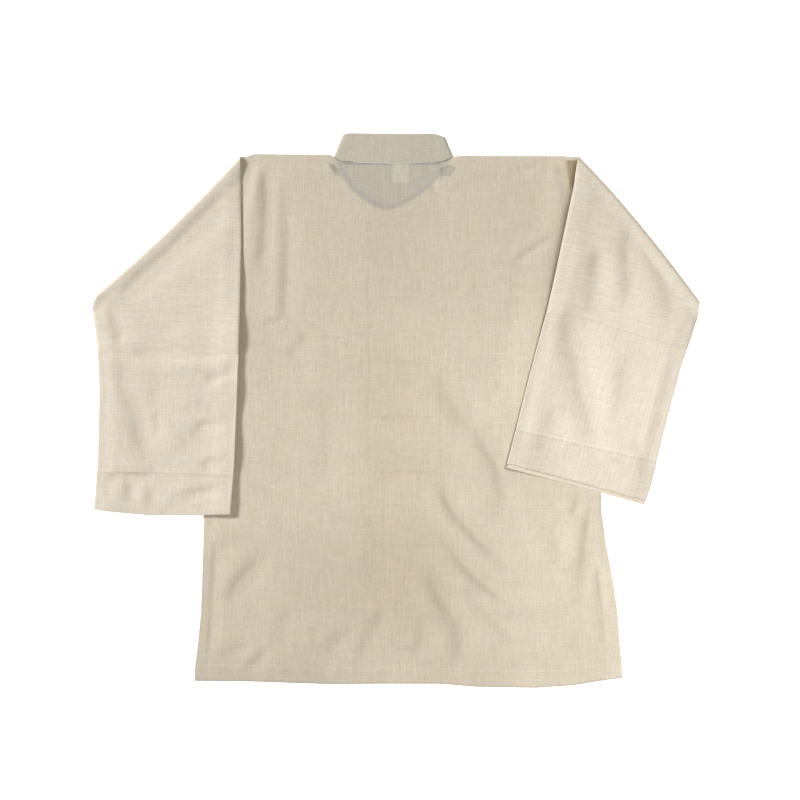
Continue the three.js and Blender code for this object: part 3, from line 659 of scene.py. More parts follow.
def doubled_at(a, b, y):
    """1 at the back's turned-in hem, less along its two vents, and 0 elsewhere."""
    strip = (a < VENT_STRIP["left"] + 0.0005) | (a > 1 - VENT_STRIP["right"] - 0.0005)
    vents = VENT_DOUBLED * strip * smooth((VENT_TOP - y) / VENT_RAMP + 0.5)
    return np.maximum(b > HEM_B + 0.0004, vents)


def back_cloth():
    """The back's cloth, and the places of its body's net for the stitches."""
    cloth = Cloth()
    columns, rows = back_columns(), back_rows()
    a, b = np.meshgrid(columns, rows, indexing="ij")
    x, y = body_plan(a, b)
    z = back_height(x, y)
    width = right_at(y) - left_at(y)
    sewn_side = smooth((y - VENT_TOP) / 0.02) * smooth((UNDERARM["left"] - y) / 0.01)
    z -= edge_drop(np.minimum(a, 1 - a) * width, SIDE_DROP) * sewn_side
    at_collar = smooth((x - NECK_LEFT) / SEAM_REACH) * smooth((NECK_RIGHT - x) / SEAM_REACH)
    from_top = top_at(a) - y
    z -= edge_drop(from_top, SIDE_DROP) * (1 - at_collar)
    z -= SEAM_DIP * at_collar * hump(from_top, SEAM_REACH)
    doubled = doubled_at(a, b, y)
    right_strip = smooth((a - 1 + VENT_STRIP["right"]) / 0.01) * smooth((VENT_TOP - y) / 0.04)
    # painted shade: a darker band along the left vent's turned-in strip
    left_strip = (a < VENT_STRIP["left"] + 0.001) * smooth((VENT_TOP - y) / 0.03)
    left_strip = left_strip * smooth((y + 0.745) / 0.05)
    tone = HEM_TONE * doubled + RIGHT_VENT_TONE * right_strip + LEFT_VENT_SHADE * left_strip
    # painted shade along the collar's seam and along the hem's bottom edge
    tone = tone + EDGE_SHADE * (at_collar * hump(from_top, COLLAR_LINE) + hump(1 - b, HEM_LINE))
    body = cloth.net(np.stack((x, y, z), -1), np.stack((x, y), -1), DOUBLED * doubled, tone=tone)
    for name, sleeve in SLEEVES.items():
        edge = 0.0 if sleeve["side"] < 0 else 1.0
        own = rows[rows <= UNDERARM_B[name] + 1e-9]
        parting = np.stack(body_plan(edge, own), -1)
        points, cut = upper_sleeve_net(name, "back", own / UNDERARM_B[name], parting, BACK_TURNS,
                                       BACK_SLEEVE_DOWN)
        points[0, :, 2] = z[0 if edge == 0 else -1, : len(own)]
        cloth.net(points, cut, flip=sleeve["side"] < 0)
    return cloth, body


def neck_point(side, t, gap=0.0):
    """A point of the front neck, from the neck point (0) to the centre front (1), moved out by gap."""
    turn = t * math.pi / 2
    neck = NECK_LEFT if side < 0 else NECK_RIGHT
    x = lerp(side * SLIT, neck + side * gap, np.cos(turn))
    return x, lerp(NECK_POINT, -FRONT_NECK_DEPTH - gap, np.sin(turn))


# Where the rows of the nets lie, as shares of their way: close together at edges, seams and stitches.
SLEEVE_ACROSS = spaced((0.001, 1), (0.005, 1), (0.02, 3), (0.98, 56), (0.995, 3), (0.999, 1), (1, 1))
NECK_STEPS = spaced((0.9, 16), (0.98, 2), (1, 1))
FRONT_ACROSS = spaced((0.02, 2), (0.99, 14))  # from its side to the neck
FRONT_DOWN = spaced((0.66, 36), (0.955, 10), (0.957, 1), (0.998, 3), (1, 1))[1:]  # below the underarm
FRONT_SLEEVE_DOWN = spaced((0.14, 12), (0.985, 60), (0.9975, 2), (1, 1))
TUBE_DOWN = spaced((0.004, 1), (0.015, 2), (0.985, 50), (1, 3))  # from the joint seam to the stitch row
TUBE_CUFF = spaced((0.015, 1), (0.045, 1), (0.97, 12), (0.985, 1), (1, 2))[1:]  # and to its end
COLLAR_ALONG = spaced((0.01, 1), (0.04, 2), (0.96, 46), (0.99, 2), (1, 1))
COLLAR_UP = spaced((0.02, 1), (0.06, 1), (0.14, 2), (0.86, 14), (0.94, 2), (0.98, 1), (1, 1))


def front_cloth(name):
    """A front's cloth, and the places of its body's net for the stitches."""
    cloth = Cloth()
    side = SLEEVES[name]["side"]
    outer = 0.0 if side < 0 else 1.0
    underarm = UNDERARM_B[name]
    neck_x, neck_y = neck_point(side, NECK_STEPS, NECK_GAP)
    plain = lerp(outer, across_at(*neck_point(side, 0.0, NECK_GAP)), FRONT_ACROSS)
    a = np.concatenate((plain, across_at(neck_x, neck_y)))
    tops = np.concatenate((top_at(plain) - FRONT_INSET, neck_y))
    b = np.concatenate((SLEEVE_ACROSS * underarm, lerp(underarm, 1, FRONT_DOWN)))
    grid_a, grid_b = np.meshgrid(a, b, indexing="ij")
    x, y = body_plan(grid_a, grid_b, tops[:, None])
    inset = FRONT_INSET * smooth((UNDERARM[name] - y) / 0.02)
    x = x - side * inset * np.abs(grid_a - (1 - outer)) ** 8
    inside = smooth(np.minimum(grid_b, 1 - grid_b) / 0.04) * smooth(np.abs(grid_a - outer) / 0.05)
    z = FRONT_MID + inside * np.clip(creases_at(FRONT_CREASES, "front", x, y), 0, FRONT_RISE)
    body = cloth.net(np.stack((x, y, z), -1), np.stack((x, y), -1), 0, flip=side < 0)
    parting = np.column_stack((x[0, : len(SLEEVE_ACROSS)], y[0, : len(SLEEVE_ACROSS)]))
    points, cut = upper_sleeve_net(name, "front", SLEEVE_ACROSS, parting, FRONT_TURNS, FRONT_SLEEVE_DOWN)
    row = np.arange(len(points))[:, None]
    # painted light: the rows round the right sleeve's roll and its lower, outer part are painted paler
    first, last = (len(GROUND_STEPS) + FRONT_TURNS.index(turn) for turn in PALE_TURNS)
    painted_light = smooth((SLEEVE_ACROSS - 0.2) / 0.3) * smooth((row - 45) / 30)
    roll = np.where(row == last, ROLL_END_LIGHT, ROLL_LIGHT)
    tone = np.where((row >= first) & (row <= last), roll, UPPER_LIGHT * painted_light) * (side > 0)
    cloth.net(points, cut, flip=side > 0, tone=tone)
    return cloth, body


def lower_sleeve_cloth(name):
    """A lower sleeve's cloth, a tube whose columns run down it and go once round, and the places of
    its cuff's stitch row. t is 1 on its upper layer and 0 on its lower one."""
    cloth = Cloth()
    sleeve = SLEEVES[name]
    near = (LAYER + SLOPE_ROOM) / 2 / SLEEVE_WIDTH
    turns = np.radians(np.arange(75, -90, -15))
    bend = near * (1 - np.cos(turns))
    heights = 0.5 + 0.5 * np.sin(turns)
    upper = np.concatenate(([near], spaced((1, 54))[1:-1] * 0.984 + 0.008, [1 - near]))
    p = np.concatenate((upper, 1 - bend, upper[::-1], bend[::-1], [near]))
    t = np.concatenate((np.ones(len(upper)), heights, np.zeros(len(upper)), heights[::-1], [1.0]))
    seam = look(sleeve["seam"], 1, p) + TUBE_GAP
    stitch = look(sleeve["stitch"], 1, p)
    end = look(sleeve["end"], 1, p) + (1 - t) * sleeve["lower_longer"]
    s = [lerp(seam, stitch, share) for share in TUBE_DOWN] + [lerp(stitch, end, share) for share in TUBE_CUFF]
    s = np.array(s)
    p, t = (np.broadcast_to(part, s.shape) for part in (p, t))
    low, up = sleeve_heights(name, s, p)
    z = lerp(low, up, t) - SEAM_DIP * t * hump(s - seam, SEAM_REACH)
    x, y = sleeve_plan(sleeve, s, p)
    points = np.stack((x, y, z), -1).transpose(1, 0, 2)
    steps = np.abs(np.diff(p[0])) + np.abs(np.diff(t[0])) * near * 1.2
    run = np.concatenate(([0], np.cumsum(steps))) * SLEEVE_WIDTH
    cut = np.stack((np.broadcast_to(run, s.shape), -s), -1).transpose(1, 0, 2)
    extra = DOUBLED * t * (np.arange(len(s)) >= len(TUBE_DOWN))[:, None]
    # painted shade at the joint seam, the stitch row and the cuff's end, and a painted highlight just above
    # the stitch row
    tone = SEAM_SHADE * hump(s - seam, LINE_WIDTH) + STITCH_SHADE * hump(s - stitch, LINE_WIDTH)
    tone = tone + RIDGE_HIGHLIGHT * hump(s - stitch + RIDGE_BEFORE, LINE_WIDTH)
    tone = tone + END_SHADE * hump(s - end, END_WIDTH)
    if name == "right":  # painted light: paler towards its outer edge and further down
        tone = tone + OUTER_LIGHT * smooth((p - 0.2) / 0.25) * smooth((s - 0.12) / 0.1)
        tone = tone + CUFF_TONE * smooth((s - stitch) / 0.01)
    else:
        # painted highlight along the left sleeve's inner edge
        tone = tone + LEFT_TONE * smooth((s - seam) / 0.03) + RIM_HIGHLIGHT * hump(p * SLEEVE_WIDTH, RIM_WIDTH)
    net = cloth.net(points, cut, extra.T, flip=sleeve["side"] < 0, tone=(t * tone).T)
    return cloth, net[:, len(TUBE_DOWN) + 1]


def collar_cloth():
    """The collar's cloth, a ring of columns that goes once round the neck from the centre front."""
    cloth = Cloth()
    heights = COLLAR_UP[::-1]
    edge_tops = {-1: COLLAR_TOP[0], 1: COLLAR_TOP[-1]}
    edge_bases = {-1: (NECK_LEFT, NECK_POINT), 1: (NECK_RIGHT, NECK_POINT)}
    columns, extras = [], []

    def band(base, top, z, extra=0.0):
        """A column of the ring, from its base up to its top."""
        x, y = lerp(base[0], top[0], heights), lerp(base[1], top[1], heights)
        columns.append(np.column_stack((x, y, np.broadcast_to(z, heights.shape))))
        extras.append(np.broadcast_to(extra, heights.shape))

    def front_column(side, t):
        turn = t * math.pi / 2
        end = edge_tops[side]
        top = (lerp(side * SLIT, end[0] - side * COLLAR_ROOM, math.cos(turn)),
               lerp(end[1], COLLAR_HEIGHT - FRONT_NECK_DEPTH, math.sin(turn)))
        band(neck_point(side, t, -COLLAR_ROOM * math.cos(turn)), top, FRONT_MID)

    def back_column(t):
        inset = COLLAR_ROOM * (1 - 2 * t)
        bx = lerp(NECK_LEFT, NECK_RIGHT, t) + inset
        tx = lerp(edge_tops[-1][0], edge_tops[1][0], t) + inset
        round_end = min(1, min(t, 1 - t) * COLLAR_WIDTH / COLLAR_END) ** 0.5
        z = BACK_MID + COLLAR_PUFF * round_end * np.sin(math.pi * heights) - SEAM_DIP * seam
        band((bx, look(SHOULDERS, 1, bx) + NECK_GAP), (tx, look(COLLAR_TOP, 1, tx)), z,
             COLLAR_DOUBLED * round_top * round_end)

    round_top = np.clip((1 - heights) * COLLAR_HEIGHT / COLLAR_TOP_BEND, 0, 1) ** 0.5
    seam = hump(heights * COLLAR_HEIGHT * SEAM_NARROWER, SEAM_REACH)
    middle = (FRONT_MID + BACK_MID) / 2
    for t in NECK_STEPS[::-1]:
        front_column(-1, t)
    band(edge_bases[-1], edge_tops[-1], middle)
    for t in COLLAR_ALONG:
        back_column(t)
    band(edge_bases[1], edge_tops[1], middle)
    for t in NECK_STEPS:
        front_column(1, t)
    points = np.array(columns)
    run = np.concatenate(([0], np.cumsum(np.linalg.norm(np.diff(points[:, -1, :2], axis=0), axis=1))))
    cut = np.stack(np.broadcast_arrays(run[:, None], heights[None] * COLLAR_HEIGHT), -1)
    cloth.net(points, cut, np.array(extras))
    return cloth


# ---------------------------------------------------------------- shader maths
class Wire:
    """A shader socket that can stand in a sum."""

    def __init__(self, finish, socket):
        self.finish, self.socket = finish, socket

    def _with(self, operation, *values):
        return self.finish.node("ShaderNodeMath", {"operation": operation}, dict(enumerate(values)))

    def __add__(self, other):
        return self._with("ADD", self, other)

    __radd__ = __add__

    def __sub__(self, other):
        return self._with("SUBTRACT", self, other)

    def __rsub__(self, other):
        return self._with("SUBTRACT", other, self)

    def __mul__(self, other):
        return self._with("MULTIPLY", self, other)

    __rmul__ = __mul__

    def __truediv__(self, other):
        return self._with("DIVIDE", self, other)

    def __pow__(self, other):
        return self._with("POWER", self, other)

    def sine(self):
        return self._with("SINE", self)

    def size(self):
        return self._with("ABSOLUTE", self)

    def least(self, other):
        return self._with("MINIMUM", self, other)

    def most(self, other):
        return self._with("MAXIMUM", self, other)

    def rise(self, low, high):
        """0 at low, 1 at high, and smooth between; low may be above high."""
        if low > high:
            return 1 - self.rise(high, low)
        return self.finish.node("ShaderNodeMapRange", {"interpolation_type": "SMOOTHSTEP"},
                                {"Value": self, "From Min": low, "From Max": high})

    def bell(self, centre, width):
        """1 at the centre, falling to 0 a width away on both sides."""
        return (self - centre).size().rise(width, 0)


def add_node(tree, kind, settings=None, inputs=None):
    """Makes a node: its settings first, then its sockets, by name or number, from values or links."""
    made = tree.nodes.new(kind)
    for key, value in (settings or {}).items():
        setattr(made, key, value)
    for key, value in (inputs or {}).items():
        value = value.socket if isinstance(value, Wire) else value
        if isinstance(value, bpy.types.NodeSocket):
            tree.links.new(value, made.inputs[key])
        else:
            made.inputs[key].default_value = value
    return made


class Finish:
    """A material, with its nodes made one at a time."""

    def __init__(self, name):
        self.material = bpy.data.materials.new(name)
        self.material.use_nodes = True
        self.tree = self.material.node_tree
        self.tree.nodes.clear()

    def node(self, kind, settings=None, inputs=None, output=0):
        """Makes a node and returns the wire of one output."""
        made = add_node(self.tree, kind, settings, inputs)
        return Wire(self, made.outputs[output]) if len(made.outputs) else None

    def colour(self, factor, a, b, blend="MIX"):
        """A blend of two colours, each a wire or three numbers."""
        a, b = (value if isinstance(value, Wire) else (*value, 1.0) for value in (a, b))
        kind = {"data_type": "RGBA", "blend_type": blend}
        return self.node("ShaderNodeMix", kind, {0: factor, 6: a, 7: b}, 2)

    def noise(self, place, scale, detail=2.0, roughness=0.5):
        return self.node("ShaderNodeTexNoise", {}, {"Vector": place, "Scale": scale, "Detail": detail,
                                                    "Roughness": roughness})

    def place(self, x, y, z=0.0):
        return self.node("ShaderNodeCombineXYZ", {}, {"X": x, "Y": y, "Z": z})

    def flat_cut(self):
        """Where a point lies in the flat cut of its piece, in metres."""
        uv = self.node("ShaderNodeUVMap", {"uv_map": "FlatCut"})
        apart = add_node(self.tree, "ShaderNodeSeparateXYZ", {}, {0: uv})
        return Wire(self, apart.outputs["X"]), Wire(self, apart.outputs["Y"])

    def surface(self, constants, varying):
        """The shader, with what is the same all over set on its own sockets."""
        shader = self.node("ShaderNodeBsdfPrincipled", {}, {**constants, **varying})
        self.node("ShaderNodeOutputMaterial", {}, {"Surface": shader})
        return self.material


# ---------------------------------------------------------------- finishes
THREAD_PITCH = 0.0011
NECK_BEND = 1.5  # the neck shows as a shape between an ellipse (2) and a diamond (1)
NECK_HALF_WIDTH = (NECK_RIGHT - NECK_LEFT) / 2
NECK_MIDDLE = (NECK_RIGHT + NECK_LEFT) / 2


STREAKS = {  # length and width, the noise at which they start and are full, shift
    "weft": (0.034, 0.0024, 0.24, 0.76, 0.0),
    "warp": (0.042, 0.0022, 0.24, 0.76, 3.1),
    "long_weft": (0.045, 0.0026, 0.57, 0.72, 6.7),
    "long_warp": (0.055, 0.0026, 0.57, 0.72, 9.3),
    "fine_weft": (0.010, 0.0013, 0.2, 0.8, 12.9),
    "fine_warp": (0.012, 0.0013, 0.2, 0.8, 15.2),
}
STREAK_WEIGHTS = {"weft": 0.7, "warp": 1.1, "fine_weft": 1.1, "fine_warp": 1.4}
RUN_TONE, THICK_TONE = 0.072, 0.050  # how much paler a full run of threads and a thick thread are
PATCH_LOW, MOTTLE_TONE, DRIFT_TONE = 0.958, 0.045, 0.04  # the small and the large uneven patches
WARMER, COOLER = (1.006, 0.996, 0.985), (0.996, 1.003, 1.012)


def slub_linen(name, colour, slub, seed, tones=None):
    """Plain-woven linen with uneven threads both ways. tones returns masks and what to multiply by."""
    finish = Finish(name)
    u, v = finish.flat_cut()
    streaks = {}
    for thread, (length, width, low, high, shift) in STREAKS.items():
        along, across = (u, v) if "weft" in thread else (v, u)
        spot = finish.place(along / length, across / width, seed + shift)
        streaks[thread] = finish.noise(spot, 1.0, 1.0).rise(low, high)
    thick = streaks["long_weft"].most(streaks["long_warp"])
    run = sum(weight * streaks[thread] for thread, weight in STREAK_WEIGHTS.items())
    even = sum(STREAK_WEIGHTS.values()) / 2
    level = 1.0 + (RUN_TONE * (run - even) + THICK_TONE * thick) * slub
    mottle = finish.noise(finish.place(u, v, seed + 20.0), 28.0, 3.0, 0.55)
    drift = finish.noise(finish.place(u, v, seed + 31.0), 9.0, 2.0)
    # the tones painted on each piece's nets, most of them painted light and shade
    own = finish.node("ShaderNodeAttribute", {"attribute_name": "tone"}, {}, 2)
    level = level * (PATCH_LOW + MOTTLE_TONE * mottle + DRIFT_TONE * drift) * (1 + own)
    warm = finish.noise(finish.place(u, v, seed + 44.0), 40.0, 2.0).rise(0.35, 0.65)
    tint = finish.colour(warm, *([c * f for c, f in zip(colour, turn)] for turn in (WARMER, COOLER)))
    for mask, shade in tones(u, v) if tones else ():
        tint = finish.colour(mask, tint, shade, "MULTIPLY")
    base = finish.colour(1.0, tint, finish.place(level, level, level), "MULTIPLY")
    weave = (u * (math.tau / THREAD_PITCH)).sine() * (v * (math.tau / THREAD_PITCH)).sine()
    height = 0.25 * weave + 0.35 * run + 0.7 * thick
    bump = finish.node("ShaderNodeBump", {}, {"Strength": 0.55, "Distance": 0.00012, "Height": height})
    rough = 0.86 + 0.08 * mottle - 0.03 * thick
    return finish.surface({"Metallic": 0.0, "IOR": 1.45, "Specular IOR Level": 0.25, "Sheen Weight": 0.12,
                           "Sheen Roughness": 0.45},
                          {"Base Color": base, "Roughness": rough, "Normal": bump})


def neck_tones(u, v):
    """The inside of the front neck with its binding, a label and the turned-in neck corners, and a painted
    shadow just below the collar's seam.
    """
    down = ((v - NECK_POINT) / (-NECK_POINT - FRONT_NECK_DEPTH)).most(0.0)
    across = ((u - NECK_MIDDLE + 0.010 * down) / NECK_HALF_WIDTH).size()
    ring = (across**NECK_BEND + down**NECK_BEND) ** (1 / NECK_BEND)
    binding = ring.rise(0.84, 0.92) * ring.rise(1.01, 0.95) * v.rise(-0.014, -0.024)
    binding = binding * (0.95 - 0.45 * u.rise(-0.03, 0.03))
    # painted shadow just below the collar's seam
    seam_shadow = u.bell(-0.041, 0.042).rise(0.0, 0.2) + u.bell(0.046, 0.025).rise(0.0, 0.3)
    seam_shadow = v.bell(-0.0125, 0.0045) * seam_shadow
    left = (u + 0.57 * (v + 0.0173)).bell(-0.087, 0.0060).rise(0.0, 0.5)
    left = left * v.bell(-0.0215, 0.0115).rise(0, 0.3) * (1 - 0.55 * v.rise(-0.020, -0.032))
    right = (u - 0.752 * v).rise(0.1045, 0.1025) * u.rise(0.0660, 0.0685) * v.rise(-0.032, -0.030)
    right = right * (v + 0.45 * (u - 0.079).size()).rise(-0.0128, -0.0148)
    right = 0.72 * right.most(1.4 * u.bell(0.0672, 0.0014) * v.bell(-0.0265, 0.0115).rise(0.0, 0.3))
    label = u.bell(0.0092, 0.0135).rise(0.0, 0.12) * v.bell(-0.026, 0.0165).rise(0.0, 0.1)
    return [(ring.rise(1.02, 0.93), (0.825, 0.857, 0.90)), (binding, (0.895, 0.905, 0.95)),
            (0.9 * seam_shadow, (0.80, 0.82, 0.86)), (left.most(right), (0.66, 0.715, 0.74)),
            (label, (1.12, 1.14, 1.16))]


def placket_tones(u, v):
    """The edges of the fronts' overlap and its four knots."""
    edges = u.bell(-0.037, 0.003) * v.rise(-0.455, -0.44) * v.rise(-0.09, -0.14)
    edges = edges + u.bell(-0.016, 0.003) * v.rise(-0.59, -0.57) * v.rise(-0.44, -0.455)
    edges = edges + u.bell(0.066, 0.003) * v.rise(-0.47, -0.455) * v.rise(-0.29, -0.32)
    for place in (-0.297, -0.375, -0.453, -0.558):
        edges = edges + v.bell(place, 0.004) * u.rise(-0.04, -0.02) * u.rise(0.068, 0.05)
    return [((0.6 * edges).least(0.8), (0.93, 0.92, 0.90))]


def back_light_and_shade(u, v):
    """Painted light and shade on the back: broad areas darker or paler where the lamps give it less or more
    light.
    """
    # painted shade: darker down the centre, over the lower part, across the upper centre and at the lower
    # left
    centre_shade = u.bell(0.01, 0.11) * v.rise(-0.2, -0.34) * v.rise(-0.72, -0.62)
    low = v.rise(-0.46, -0.62) * u.rise(0.20, 0.06) * (1 - 0.5 * u.rise(-0.10, -0.19))
    low = low * (1 - 0.4 * v.rise(-0.70, -0.735) * u.rise(0.06, 0.02) * u.rise(-0.14, -0.08))
    low = low.most(0.9 * u.bell(0.12, 0.08) * v.rise(-0.69, -0.72))
    high = u.bell(0.0, 0.09) * v.rise(-0.05, -0.08) * v.rise(-0.26, -0.16)
    low_left = v.rise(-0.70, -0.745) * u.rise(0.05, -0.15)
    # painted light: paler areas across the middle right and the lower right
    painted_light = v.rise(-0.2, -0.27) * v.rise(-0.46, -0.38) * u.rise(-0.03, 0.05)
    painted_light = painted_light.most(v.rise(-0.43, -0.50) * u.rise(0.13, 0.21) * v.rise(-0.72, -0.6))
    painted_light = painted_light + 1.3 * v.bell(-0.525, 0.07) * u.rise(0.18, 0.24)
    return [(centre_shade, (0.965, 0.945, 0.91)), (low, (0.888, 0.878, 0.875)), (high, (0.955, 0.955, 0.955)),
            (low_left, (0.92, 0.92, 0.925)), (0.4 * painted_light, (1.10, 1.10, 1.10))]


def right_sleeve_light_and_shade(u, v):
    """Painted light and shade on the back by the right sleeve: a shadow where its inner edge meets the back,
    light reflected beside it, and a shadow in its opening at the shoulder.
    """
    sleeve = SLEEVES["right"]
    turn = math.radians(sleeve["hang"])
    right, down = u - sleeve["shoulder"][0], sleeve["shoulder"][1] - v
    s = down * math.cos(turn) - right * math.sin(turn)
    inner = 0.0045 - 0.042 * (s - 0.2).most(0.0)
    outside = inner - right * math.cos(turn) - down * math.sin(turn)
    reach = 0.0045 + 0.0075 * s.rise(0.26, 0.10)
    # painted shadow along the sleeve's inner edge
    contact_shadow = (outside / reach).rise(1.0, 0.1) * s.rise(-0.005, 0.02) * s.rise(0.462, 0.458)
    # painted reflected light a little further out
    beside = outside.rise(0.055, 0.03) * s.rise(-0.01, 0.0) * s.rise(0.42, 0.36)
    beside = beside * (1 - 0.85 * s.bell(0.15, 0.10))
    # painted shadow where the sleeve stands open at the shoulder
    opening = (u + 0.14 * (v + 0.012)).rise(0.2425, 0.2500) * v.rise(-0.056, -0.042)
    opening = opening * v.rise(-0.0060, -0.0095) * outside.rise(-0.001, 0.001)
    return [(contact_shadow, (0.56, 0.53, 0.49)), (beside, (1.09, 1.09, 1.08)), (opening, (0.60, 0.53, 0.43))]


def body_tones(u, v):
    """The tones of the back, as masks and what each multiplies the colour by."""
    return neck_tones(u, v) + placket_tones(u, v) + back_light_and_shade(u, v) + right_sleeve_light_and_shade(u, v)


def sewing_thread(colour):
    """Twisted cotton thread."""
    finish = Finish("cotton_thread")
    spot = finish.node("ShaderNodeTexCoord", {}, {}, 3)
    twist = finish.noise(spot, 2600.0, 1.0)
    dark, light = [c * 0.9 for c in colour], [min(1.0, c * 1.06) for c in colour]
    bump = finish.node("ShaderNodeBump", {}, {"Strength": 0.4, "Distance": 0.00005, "Height": twist})
    return finish.surface({"Metallic": 0.0, "Sheen Weight": 0.1},
                          {"Base Color": finish.colour(twist, dark, light), "Roughness": 0.6 + 0.2 * twist,
                           "Normal": bump})


# ---------------------------------------------------------------- stitches
def stitch_tree():
    """Geometry Nodes: a row of sunken stitches along every line of a mesh of edges."""
    tree = bpy.data.node_groups.new("Stitches", "GeometryNodeTree")
    new = tree.interface.new_socket
    new("Geometry", in_out="INPUT", socket_type="NodeSocketGeometry")
    for label, default in (("Stitch Length", 0.003), ("Stitch Gap", 0.001), ("Thread Thickness", 0.00035)):
        new(label, in_out="INPUT", socket_type="NodeSocketFloat").default_value = default
    new("Seed", in_out="INPUT", socket_type="NodeSocketInt").default_value = 5
    new("Thread", in_out="INPUT", socket_type="NodeSocketMaterial")
    new("Geometry", in_out="OUTPUT", socket_type="NodeSocketGeometry")

    def node(kind, settings=None, inputs=None):
        return add_node(tree, kind, settings, inputs)

    given = node("NodeGroupInput").outputs
    curve = node("GeometryNodeMeshToCurve", {}, {"Mesh": given["Geometry"]})
    pitch = node("ShaderNodeMath", {"operation": "ADD"},
                 {0: given["Stitch Length"], 1: given["Stitch Gap"]})
    spots = node("GeometryNodeCurveToPoints", {"mode": "LENGTH"},
                 {"Curve": curve.outputs[0], "Length": pitch.outputs[0]})
    bead = node("GeometryNodeMeshUVSphere", {}, {"Segments": 6, "Rings": 4, "Radius": 0.5})
    thick = given["Thread Thickness"]
    size = node("ShaderNodeCombineXYZ", {}, {0: thick, 1: thick, 2: given["Stitch Length"]})
    stitch = node("GeometryNodeTransform", {}, {"Geometry": bead.outputs["Mesh"], "Scale": size.outputs[0]})
    turn = node("FunctionNodeAlignRotationToVector", {"axis": "Z"}, {"Vector": spots.outputs["Tangent"]})
    uneven = node("FunctionNodeRandomValue", {"data_type": "FLOAT"},
                  {2: 0.88, 3: 1.08, "Seed": given["Seed"]})
    sewn = node("GeometryNodeInstanceOnPoints", {},
                {"Points": spots.outputs["Points"], "Instance": stitch.outputs[0],
                 "Rotation": turn.outputs[0], "Scale": uneven.outputs[1]})
    real = node("GeometryNodeRealizeInstances", {}, {"Geometry": sewn.outputs[0]})
    coat = node("GeometryNodeSetMaterial", {}, {"Geometry": real.outputs[0], "Material": given["Thread"]})
    node("NodeGroupOutput", {}, {0: coat.outputs[0]})
    return tree


LOWEST_STITCH = 0.00005


def sew(name, lines, sewing, thread):
    """A piece with a row of stitches along each line of points."""
    points, edges = [], []
    for line in lines:
        start = len(points)
        points += [(x, y, max(z, LOWEST_STITCH)) for x, y, z in line.tolist()]
        edges += [(i, i + 1) for i in range(start, len(points) - 1)]
    mesh = bpy.data.meshes.new(name + "_lines")
    mesh.from_pydata(points, edges, [])
    guide = bpy.data.objects.new(name + "_lines", mesh)
    bpy.context.scene.collection.objects.link(guide)
    tree = bpy.data.node_groups.get("Stitches") or stitch_tree()
    rows = guide.modifiers.new("Stitches", "NODES")
    rows.node_group = tree
    socket = {item.name: item.identifier for item in tree.interface.items_tree if item.in_out == "INPUT"}
    rows[socket["Stitch Length"]] = sewing.stitch_length
    rows[socket["Stitch Gap"]] = sewing.stitch_gap
    rows[socket["Thread Thickness"]] = sewing.thread_thickness
    rows[socket["Seed"]] = len(name)
    rows[socket["Thread"]] = thread
    graph = bpy.context.evaluated_depsgraph_get()
    graph.update()
    sewn = bpy.data.meshes.new_from_object(guide.evaluated_get(graph))
    guide.modifiers.remove(rows)
    bpy.data.objects.remove(guide)
    sewn.polygons.foreach_set("use_smooth", np.ones(len(sewn.polygons), bool))
    if not len(sewn.materials) or sewn.materials[0] is None:
        sewn.materials.clear()
        sewn.materials.append(thread)
    if not len(sewn.polygons):
        raise RuntimeError(f"{name} has no stitches")
    piece = bpy.data.objects.new(name, sewn)
    bpy.context.scene.collection.objects.link(piece)
    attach(piece, "root")
    return piece


# ---------------------------------------------------------------- settings
LENGTH = {"subtype": "DISTANCE", "unit": "LENGTH"}
COLOUR = {"size": 3, "min": 0.0, "max": 1.0, "subtype": "COLOR"}


class JACKET_PG_cloth(bpy.types.PropertyGroup):
    """The cloth of the jacket."""

    wall: FloatProperty(
        name="Wall", description="Thickness of the cloth as it looks",
        default=WALL, min=0.0003, max=0.0012, **LENGTH)
    slub: FloatProperty(
        name="Slub", description="How much the uneven threads stand out", default=1.0, min=0.0, max=3.0)
    body_colour: FloatVectorProperty(
        name="Body colour", description="Linen of the back", default=(0.760, 0.676, 0.533), **COLOUR)
    # The sleeves' linen is paler than the back's, partly for their layers and partly as painted light.
    sleeve_colour: FloatVectorProperty(
        name="Sleeve colour", description="Linen of the fronts and the sleeves, which lie in layers",
        default=(0.870, 0.778, 0.640), **COLOUR)
    collar_colour: FloatVectorProperty(
        name="Collar colour", description="Linen of the stand collar",
        default=(0.672, 0.618, 0.505), **COLOUR)


class JACKET_PG_sewing(bpy.types.PropertyGroup):
    """The stitches of the jacket."""

    stitch_length: FloatProperty(
        name="Stitch length", description="Length of one stitch",
        default=0.0028, min=0.001, max=0.006, **LENGTH)
    stitch_gap: FloatProperty(
        name="Stitch gap", description="Room between two stitches",
        default=0.0007, min=0.0, max=0.003, **LENGTH)
    thread_thickness: FloatProperty(
        name="Thread thickness", description="Thickness of the sewing thread",
        default=0.0003, min=0.0001, max=0.001, **LENGTH)
    thread_colour: FloatVectorProperty(
        name="Thread colour", description="Colour of the sewing thread",
        default=(0.66, 0.585, 0.465), **COLOUR)


class JACKET_PG_stage(bpy.types.PropertyGroup):
    """The floor, the lights and the camera."""

    view_width: FloatProperty(
        name="View width", description="Width of the floor that the camera sees",
        default=1.144, min=0.5, max=3.0, **LENGTH)
    view_height: FloatProperty(
        name="Camera height", description="Height of the camera above the floor",
        default=3.0, min=1.5, max=8.0, **LENGTH)
    key_power: FloatProperty(
        name="Key power", description="Power of the main light, at the left",
        default=440.0, min=0.0, max=1000.0, subtype="POWER")
    side_power: FloatProperty(
        name="Side power", description="Power of the light over the right side",
        default=6.0, min=0.0, max=100.0, subtype="POWER")
    fill_level: FloatProperty(
        name="Fill", description="Brightness of the light from all round",
        default=0.20, min=0.0, max=2.0)


